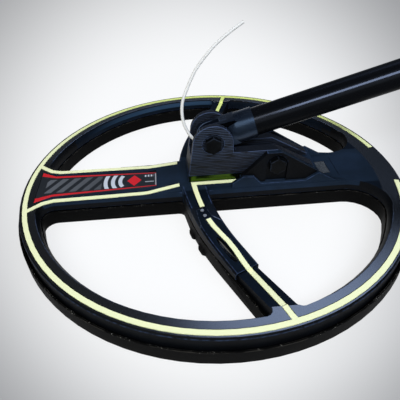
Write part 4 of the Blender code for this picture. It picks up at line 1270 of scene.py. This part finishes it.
@dataclass
class ChargeModule(Assembly):
    """Lid on the near arm, its two contacts and the thin skins beside them."""

    covers: tuple[Cover, ...] = (
        Cover("module_cover", "module_lid", 0.0003, Slot.SHELL, SHELL),
        Cover("charge_contact_inner", "charge_contact_inner_stud", 0.0002, Slot.METAL, STUD),
        Cover("charge_contact_outer", "charge_contact_outer_stud", 0.0002, Slot.METAL, STUD),
    )
    bend_x: float = 0.1565  # middle of the arm's bend
    bend_radius: float = 0.170
    above: float = 0.1  # a height that is over the whole coil
    cheek_start: tuple[float, ...] = (0.0374, 0.0384, 0.0398)  # along Y, on both sides of the seam
    cheek_rows: int = 4
    cheek_proud: float = 0.00024
    cheek_edge: float = 0.0006
    cheek_depth: float = 0.0007
    cheeks: dict[str, tuple[Span, ...]] = field(default_factory=lambda: {
        "rear_cheek": (
            (-0.0079, 0.0541), (-0.0070, 0.0538), (-0.0055, 0.0518), (-0.0040, 0.0497),
            (-0.0029, 0.0480), (-0.0025, 0.0450), (-0.0022, 0.0420),
        ),
        "front_cheek": (
            (0.0021, 0.0405), (0.0049, 0.0405), (0.0060, 0.0470), (0.0070, 0.0530), (0.0079, 0.0545),
        ),
    })
    scoop: Span = (0.0019, -0.0753)
    scoop_half: Span = (0.0105, 0.0034)
    scoop_deg: float = 25.0
    scoop_rise: Span = (0.03, 0.992)  # upward part of the direction of its faces
    scoop_face: float = 4e-6  # area of its largest face
    trees: list[BVHTree] = field(init=False)
    skins: list[Object] = field(init=False)

    def in_scoop(self, face: Face) -> bool:
        """Say whether a face is part of the scoop in the lid.

        Args:
            face: A face of the lid.

        Returns:
            Whether it is.
        """
        rise, run = math.sin(math.radians(self.scoop_deg)), math.cos(math.radians(self.scoop_deg))
        dx, dy = face.center.x - self.scoop[0], face.center.y - self.scoop[1]
        along, across = (dx * rise - dy * run) / self.scoop_half[0], (dx * run + dy * rise) / self.scoop_half[1]
        low, high = self.scoop_rise
        return math.hypot(along, across) < 1 and low < face.normal.z < high and face.area < self.scoop_face

    def on_arm(self, along: float, front: float) -> Vector:
        """Find a point on top of the near arm.

        Args:
            along: Its station along Y on the arm's middle line.
            front: How far it is moved to the arm's front side.

        Returns:
            The point, on the housing or the lid.
        """
        turn, reach = math.asin(along / self.bend_radius), self.bend_radius + front
        x, y = self.bend_x - reach * math.cos(turn), -reach * math.sin(turn)
        down = Vector((0.0, 0.0, -1.0))
        hits = [tree.ray_cast(Vector((x, y, self.above)), down)[0] for tree in self.trees]
        return Vector((x, y, max(hit.z for hit in hits if hit is not None)))

    def cheek(self, name: str, columns: tuple[Span, ...]) -> Object:
        """Make the thin skin beside the contacts, which runs over the seam and ends on a painted highlight.

        Args:
            name: The piece's name.
            columns: Places across the arm with the station where the skin ends there.

        Returns:
            The skin.
        """
        start, rows = self.cheek_start[-1], []
        for front, last in columns:
            pitch = (last - self.cheek_edge - start) / self.cheek_rows
            stations = [*self.cheek_start, *(start + pitch * (k + 1) for k in range(self.cheek_rows)), last]
            lifts = [self.cheek_proud * min(1.0, k / len(self.cheek_start)) for k in range(len(stations))]
            rows.append([
                self.on_arm(along, front) + Vector((0.0, 0.0, lift)) for along, lift in zip(stations, lifts)
            ])
        shape = stretched_grid(rows)
        mark, cells = shape.faces.layers.float.new(EDGE_MARK), len(stations) - 1
        # the end row of each column takes the painted highlight
        for face in shape.faces[:][cells - 1::cells]:
            face[mark] = 1.0
        return thin_piece(shape, self.cheek_depth, name)

    def build(self) -> None:
        """Make the lid, the contacts and the skins beside them."""
        super().build()
        shapes = [whole_copy(node) for node in ("coil_housing", "module_cover")]
        self.trees = [BVHTree.FromBMesh(shape) for shape in shapes]
        self.skins = [self.cheek(name, columns) for name, columns in self.cheeks.items()]
        for shape in shapes:
            shape.free()

    def dress(self) -> None:
        """Dress the pieces, the lid's upper side in painted light and its scoop in darker painted shade."""
        super().dress()
        second_tone(self.pieces["module_lid"], SHELL_TOP, faces_up)
        second_tone(self.pieces["module_lid"], SHELL_SCOOP, self.in_scoop)
        for skin in self.skins:
            settle(skin, Body.COIL, SHELL_SEAM)


@dataclass
class Clevis(Assembly):
    """Printed bracket with its bolts, nuts, washers and the wire's gland."""

    covers: tuple[Cover, ...] = (
        Cover("bracket", "printed_clevis", 0.0004, Slot.PRINTED, PRINTED),
        *(Cover(node, f"{node}_hex", 0.0004, Slot.BOLT, NYLON) for node in (
            "pivot_bolt", "pivot_nut", "bracket_bolt", "bracket_nut",
        )),
        Cover("wire_gland", "wire_grommet", 0.0003, Slot.RUBBER, RUBBER),
    )
    kept: tuple[tuple[str, Finish], ...] = (("pivot_washer_near", RUBBER), ("pivot_washer_far", RUBBER))


@dataclass
class Aerial:
    """Stiff white wire that stands up from the gland."""

    radius: float = 0.0011
    roundness: int = 6
    steps: int = 6
    route: tuple[Spot, ...] = (
        (-0.0098, 0.0020, 0.0475), (-0.0098, 0.0020, 0.0495), (-0.0122, 0.0026, 0.0520),
        (-0.0146, 0.0041, 0.0555), (-0.0169, 0.0062, 0.0606), (-0.0178, 0.0084, 0.0657),
        (-0.0177, 0.0105, 0.0707), (-0.0166, 0.0126, 0.0756), (-0.0140, 0.0158, 0.0806),
        (-0.0106, 0.0190, 0.0867), (-0.0060, 0.0222, 0.0935), (0.0004, 0.0254, 0.1001),
        (0.0077, 0.0286, 0.1065), (0.0172, 0.0317, 0.1127), (0.0268, 0.0349, 0.1178),
    )
    points: list[Vector] = field(init=False)
    length: float = field(init=False)
    wire: Object = field(init=False)

    def line(self) -> list[Vector]:
        """Run a smooth line through the route.

        Returns:
            The points of the line, close together.
        """
        spots = [Vector(p) for p in self.route]
        ends = [2 * spots[0] - spots[1], *spots, 2 * spots[-1] - spots[-2]]
        points = []
        for before, start, end, after in zip(ends, ends[1:], ends[2:], ends[3:]):
            for t in (k / self.steps for k in range(self.steps)):
                points.append(0.5 * (
                    2 * start + (end - before) * t
                    + (2 * before - 5 * start + 4 * end - after) * t * t
                    + (3 * start - before - 3 * end + after) * t ** 3
                ))
        return [*points, spots[-1]]

    def build(self) -> None:
        """Make the wire as one round line with a closed end."""
        self.points = self.line()
        self.length = sum((b - a).length for a, b in zip(self.points, self.points[1:]))
        curve = bpy.data.curves.new("aerial_sleeve", "CURVE")
        curve.dimensions = "3D"
        curve.bevel_depth, curve.bevel_resolution = self.radius, self.roundness
        curve.use_fill_caps = True
        spline = curve.splines.new("POLY")
        spline.points.add(len(self.points) - 1)
        for knot, spot in zip(spline.points, self.points):
            knot.co = (*spot, 1.0)
        spline.use_smooth = True
        self.wire = new_object("aerial_sleeve", curve)

    def dress(self) -> None:
        """Give the wire its finish and say what it is."""
        settle(self.wire, Body.COIL, SLEEVE, "antenna_wire")


def stem_place() -> Matrix:
    """Return the way from the stem's own axes to the row frame."""
    return Matrix.Translation(STEM_PIVOT) @ Matrix.Rotation(-STEM_TILT, 4, "Y")


@dataclass
class Fork(Assembly):
    """Fork of the stem. Pairs along a notch give its start at the pivot and its tip."""

    covers: tuple[Cover, ...] = (
        Cover("stem_fork", "fork_moulding", 0.0004, Slot.BOLT, FORK_NYLON, Body.STEM),
    )
    notch_run: Span = (0.0060, 0.0205)  # along the stem from the pivot
    notch_wall: Span = (0.0053, 0.0064)  # inner wall, from the stem's middle plane
    notch_floor: Span = (0.0042, 0.0085)  # above the stem's axis
    notch_outer: float = 0.0080
    notch_top: float = 0.0140
    notch_slack: float = 0.0001
    wall_slack: float = 0.00008
    floor_slack: float = 0.00005
    web_run: Span = (0.0082, 0.0162)  # behind the fork's spine, along the stem
    web_half: float = 0.00211
    web_levels: Span = (-0.0092, 0.00997)
    web_rounding: float = 0.0004
    web: Object = field(init=False)

    def notches(self) -> Shape:
        """Shape the wedges that are cut on both sides of the fork's spine.

        Returns:
            The wedges, in the row frame.
        """
        wedges = bmesh.new()
        for side in (-1, 1):
            for v in bmesh.ops.create_cube(wedges, size=1.0)["verts"]:
                tip = v.co.x > 0
                across = self.notch_outer if v.co.y > 0 else self.notch_wall[tip]
                level = self.notch_top if v.co.z > 0 else self.notch_floor[tip]
                v.co = (self.notch_run[tip], side * across, level)
        bmesh.ops.recalc_face_normals(wedges, faces=wedges.faces[:])
        bmesh.ops.transform(wedges, matrix=stem_place(), verts=wedges.verts[:])
        return wedges

    def in_notch(self, face: Face) -> bool:
        """Say whether a face is a wall or the floor of a notch.

        Args:
            face: A face of the fork.

        Returns:
            Whether it is.
        """
        back = stem_place().inverted()
        spot, normal = back @ face.center, back.to_3x3() @ face.normal
        start, tip = self.notch_run
        share = (spot.x - start) / (tip - start)
        wall, floor = (low + (high - low) * share for low, high in (self.notch_wall, self.notch_floor))
        outside = abs(spot.y) > self.notch_wall[0] - self.notch_slack
        on_floor = abs(spot.z - floor) < self.floor_slack and outside
        on_wall = abs(abs(spot.y) - wall) < self.wall_slack and abs(normal.y) > UPRIGHT and spot.z > floor
        return start < spot.x < tip + self.notch_slack and (on_floor or on_wall)

    def build_web(self) -> None:
        """Make the web that closes the slot between the lugs, up to the sleeve."""
        web = bmesh.new()
        for v in bmesh.ops.create_cube(web, size=1.0)["verts"]:
            half = self.web_half if v.co.y > 0 else -self.web_half
            v.co = (self.web_run[v.co.x > 0], half, self.web_levels[v.co.z > 0])
        bmesh.ops.transform(web, matrix=stem_place(), verts=web.verts[:])
        round_edges(web, self.web_rounding)
        self.web = as_piece(web, "fork_web")

    def build(self) -> None:
        """Make the fork with its notches, and the web."""
        super().build()
        carve(self.pieces["fork_moulding"], self.notches())
        self.build_web()

    def dress(self) -> None:
        """Dress the fork, with the notches in a darker, dull tone of painted shade, and the web."""
        super().dress()
        second_tone(self.pieces["fork_moulding"], NOTCH_NYLON, self.in_notch)
        settle(self.web, Body.STEM, FORK_NYLON)


@dataclass
class Stem(Assembly):
    """Tube of the stem, and its snap buttons with their spring."""

    covers: tuple[Cover, ...] = (
        Cover("stem_tube", "stem_lacquer_tube", 0.0003, Slot.TUBE, LACQUER, Body.STEM),
        Cover("snap_button_left", "button_left_cap", 0.0002, Slot.BOLT, NYLON, Body.BUTTON_LEFT),
        Cover("snap_button_right", "button_right_cap", 0.0002, Slot.BOLT, NYLON, Body.BUTTON_RIGHT),
    )
    spring_run: Span = (0.4312, 0.4562)  # where the spring's legs bend, along the stem
    spring_cuts: int = 9
    legs: dict[Body, Object] = field(default_factory=dict)

    def spring_leg(self, name: str, side: float) -> Object:
        """Make the leg of the spring on one side, cut across so that it can bend.

        Args:
            name: The piece's name.
            side: 1 on the left of the stem, -1 on its right.

        Returns:
            The leg.
        """
        leg, place = whole_copy("button_spring"), stem_place()
        bmesh.ops.bisect_plane(
            leg, geom=[*leg.verts, *leg.edges, *leg.faces], plane_co=STEM_PIVOT,
            plane_no=(0.0, side, 0.0), clear_inner=True,
        )
        bmesh.ops.contextual_create(leg, geom=[e for e in leg.edges if e.is_boundary])
        low, high = self.spring_run
        for k in range(self.spring_cuts + 1):
            cut = place @ Vector((low + (high - low) * k / self.spring_cuts, 0.0, 0.0))
            bmesh.ops.bisect_plane(
                leg, geom=[*leg.verts, *leg.edges, *leg.faces], plane_co=cut,
                plane_no=place.to_3x3() @ Vector((1.0, 0.0, 0.0)),
            )
        bmesh.ops.remove_doubles(leg, verts=leg.verts[:], dist=MERGE)
        bmesh.ops.recalc_face_normals(leg, faces=leg.faces[:])
        return as_piece(leg, name)

    def dress_leg(self, leg: Object, button: Body) -> None:
        """Give a leg of the spring its finish, hide the CAD spring, and bake the leg's place into its mesh.

        Args:
            leg: The leg.
            button: Body of the button that it pushes.
        """
        leg.data.materials.append(SPRING_STEEL.material())
        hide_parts("button_spring")
        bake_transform(leg)
        LOG.info("%s bends from %s to %s", leg.name, Body.STEM.value, button.value)

    def build(self) -> None:
        """Make the tube, the buttons and the legs of their spring."""
        super().build()
        self.legs[Body.BUTTON_LEFT] = self.spring_leg("spring_leg_left", 1.0)
        self.legs[Body.BUTTON_RIGHT] = self.spring_leg("spring_leg_right", -1.0)

    def dress(self) -> None:
        """Dress the pieces and the legs of the spring."""
        super().dress()
        for button, leg in self.legs.items():
            self.dress_leg(leg, button)


@dataclass
class Inside(Assembly):
    """What the shell holds out of sight."""

    kept: tuple[tuple[str, Finish], ...] = (
        ("transmit_winding", ENAMEL), ("receive_winding", ENAMEL), ("circuit_board", BOARD),
        ("shield_can", METAL), ("battery_cell", FOIL),
    )


@dataclass(frozen=True)
class Lamp:
    """A soft lamp that points at a spot."""

    name: str
    place: Spot
    aim: Spot
    size: Span
    watts: float
    colour: Spot

    def build(self) -> None:
        """Hang the lamp."""
        light = bpy.data.lights.new(self.name, "AREA")
        light.shape = "RECTANGLE"
        light.size, light.size_y = self.size
        light.energy, light.color = self.watts, self.colour
        lamp = new_object(self.name, light)
        lamp.location = self.place
        lamp.rotation_mode = "QUATERNION"
        lamp.rotation_quaternion = (Vector(self.aim) - Vector(self.place)).to_track_quat("-Z", "Y")


@dataclass(frozen=True)
class PaleFloor(Finish):
    """Floor with a painted pool of light fixed on it, its form laid out from the picture camera's standpoint.
    """

    lit: Colour = (0.985, 0.99, 0.995, 1.0)
    dim: Colour = (0.34, 0.345, 0.355, 1.0)
    start_mm: float = 248.0  # the standpoint, in front of the coil's middle
    height_mm: float = 200.0  # and above the floor
    nearest_mm: float = 30.0
    middle_mm: float = -12.0
    turn: float = 0.03
    squeeze: float = 0.92
    fall_deg: float = 39.4  # how far it looks down
    pool: Span = (0.29, 0.76)
    shown: float = 0.85

    def shade(self, s: Shader) -> None:
        """Pale colour that keeps the shadow, and shows as itself to the eye and in reflections.

        Args:
            s: The shader.
        """
        sink, level = math.sin(math.radians(self.fall_deg)), math.cos(math.radians(self.fall_deg))
        run = s.y + self.start_mm
        deep = (run * level + self.height_mm * sink).most(self.nearest_mm)
        across = (s.x - self.middle_mm - run * self.turn) / deep
        up = (run * sink - self.height_mm * level) / deep * self.squeeze
        # painted light: the floor is lit in the pool and dim outside it
        colour = s.paint(self.lit, (across.reach(up).ramp(*self.pool), self.dim))
        matt = s.node("ShaderNodeBsdfDiffuse", {}, {"Color": colour})
        glow = s.node("ShaderNodeEmission", {}, {"Color": colour, "Strength": 1.0})
        path = s.node("ShaderNodeLightPath").outputs
        seen, glossy, through = (
            Val(s, path[f"Is {kind} Ray"]) for kind in ("Camera", "Glossy", "Transmission")
        )
        s.two_surfaces(seen.most(glossy).most(through) * self.shown, matt.outputs[0], glow.outputs[0])


@dataclass
class Studio:
    """Floor, lamps, surrounding light and camera."""

    floor_radius: float = 6.0
    floor_sides: int = 96
    floor_drop: float = 0.0003
    eye: Spot = (-0.0290, -0.24846, 0.20044)
    right: Spot = (0.9968, -0.0706, -0.0380)
    up: Spot = (0.0742, 0.6314, 0.7719)
    back: Spot = (-0.0305, -0.7722, 0.6346)
    lens_mm: float = 37.007
    sensor_mm: float = 36.0
    shift: Span = (0.0376, 0.0036)
    clip: float = 0.01
    lamps: tuple[Lamp, ...] = (
        Lamp("front_strip", (0.34, -0.65, 0.89), (0.12, 0.0, 0.08), (0.8, 0.26), 8.2, (0.78, 0.86, 1.0)),
        Lamp("rear_softbox", (0.45, 0.60, 1.10), (0.05, -0.10, 0.02), (0.84, 0.45), 2.6, (0.50, 0.65, 1.0)),
        Lamp("key_fill", (-0.6, -1.0, 1.1), (0.0, 0.0, 0.02), (0.9, 0.9), 7.5, (1.0, 0.98, 0.93)),
        Lamp("left_rear_fill", (-0.9, 0.15, 1.2), (0.0, 0.0, 0.02), (0.8, 0.8), 5.0, (1.0, 0.98, 0.93)),
    )
    ceiling: Colour = (0.012, 0.014, 0.017, 1.0)
    horizon: Colour = (0.24, 0.28, 0.34, 1.0)
    wall: Colour = (0.50, 0.50, 0.48, 1.0)
    ceiling_from: Span = (0.36, 0.54)  # upward part of a direction
    horizon_to: Span = (0.26, 0.50)  # sideways part
    wall_from: Span = (-0.15, -0.75)  # part to the rear

    def build_camera(self) -> None:
        """Stand the camera where the picture was taken."""
        data = bpy.data.cameras.new("picture_camera")
        data.sensor_width, data.lens, data.clip_start = self.sensor_mm, self.lens_mm, self.clip
        data.shift_x, data.shift_y = self.shift
        camera = new_object("picture_camera", data)
        turn = Matrix((self.right, self.up, self.back)).transposed().to_4x4()
        camera.matrix_world = Matrix.Translation(self.eye) @ turn
        bpy.context.scene.camera = camera

    def build_floor(self) -> None:
        """Lay a round floor under the coil."""
        disc = bmesh.new()
        bmesh.ops.create_circle(disc, cap_ends=True, segments=self.floor_sides, radius=self.floor_radius)
        bmesh.ops.translate(disc, vec=(0.0, 0.0, -self.floor_drop), verts=disc.verts[:])
        floor = new_object("floor", disc)
        floor.data.materials.append(PaleFloor("pale_floor").material())

    def build_world(self) -> None:
        """Surround the object with a horizon under a dim ceiling, and a pale wall behind the camera."""
        world = bpy.data.worlds.new("surround")
        world.use_nodes = True
        s = Nodes(world.node_tree)
        x, y, z = s.parts(s.node("ShaderNodeTexCoord").outputs["Generated"])
        dim = z.ramp(*self.ceiling_from).most(abs(x).ramp(*self.horizon_to))
        colour = s.paint(self.horizon, (dim, self.ceiling), (y.ramp(*self.wall_from), self.wall))
        sky = s.node("ShaderNodeBackground", {}, {"Color": colour})
        s.node("ShaderNodeOutputWorld", {}, {"Surface": sky.outputs[0]})
        bpy.context.scene.world = world

    def build(self) -> None:
        """Set up the camera, floor, surround and lamps."""
        self.build_camera()
        self.build_floor()
        self.build_world()
        for lamp in self.lamps:
            lamp.build()
        bpy.context.scene.view_settings.view_transform = "Standard"


def main() -> None:
    """Build and dress the sub-assemblies in order."""
    logging.basicConfig(level=logging.INFO, format="%(name)s: %(message)s")
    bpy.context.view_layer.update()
    Studio().build()
    for assembly in (Aerial(), Coil(), Trim(), ChargeModule(), Clevis(), Fork(), Stem(), Inside()):
        assembly.build()
        assembly.dress()


if __name__ == "__main__":
    main()
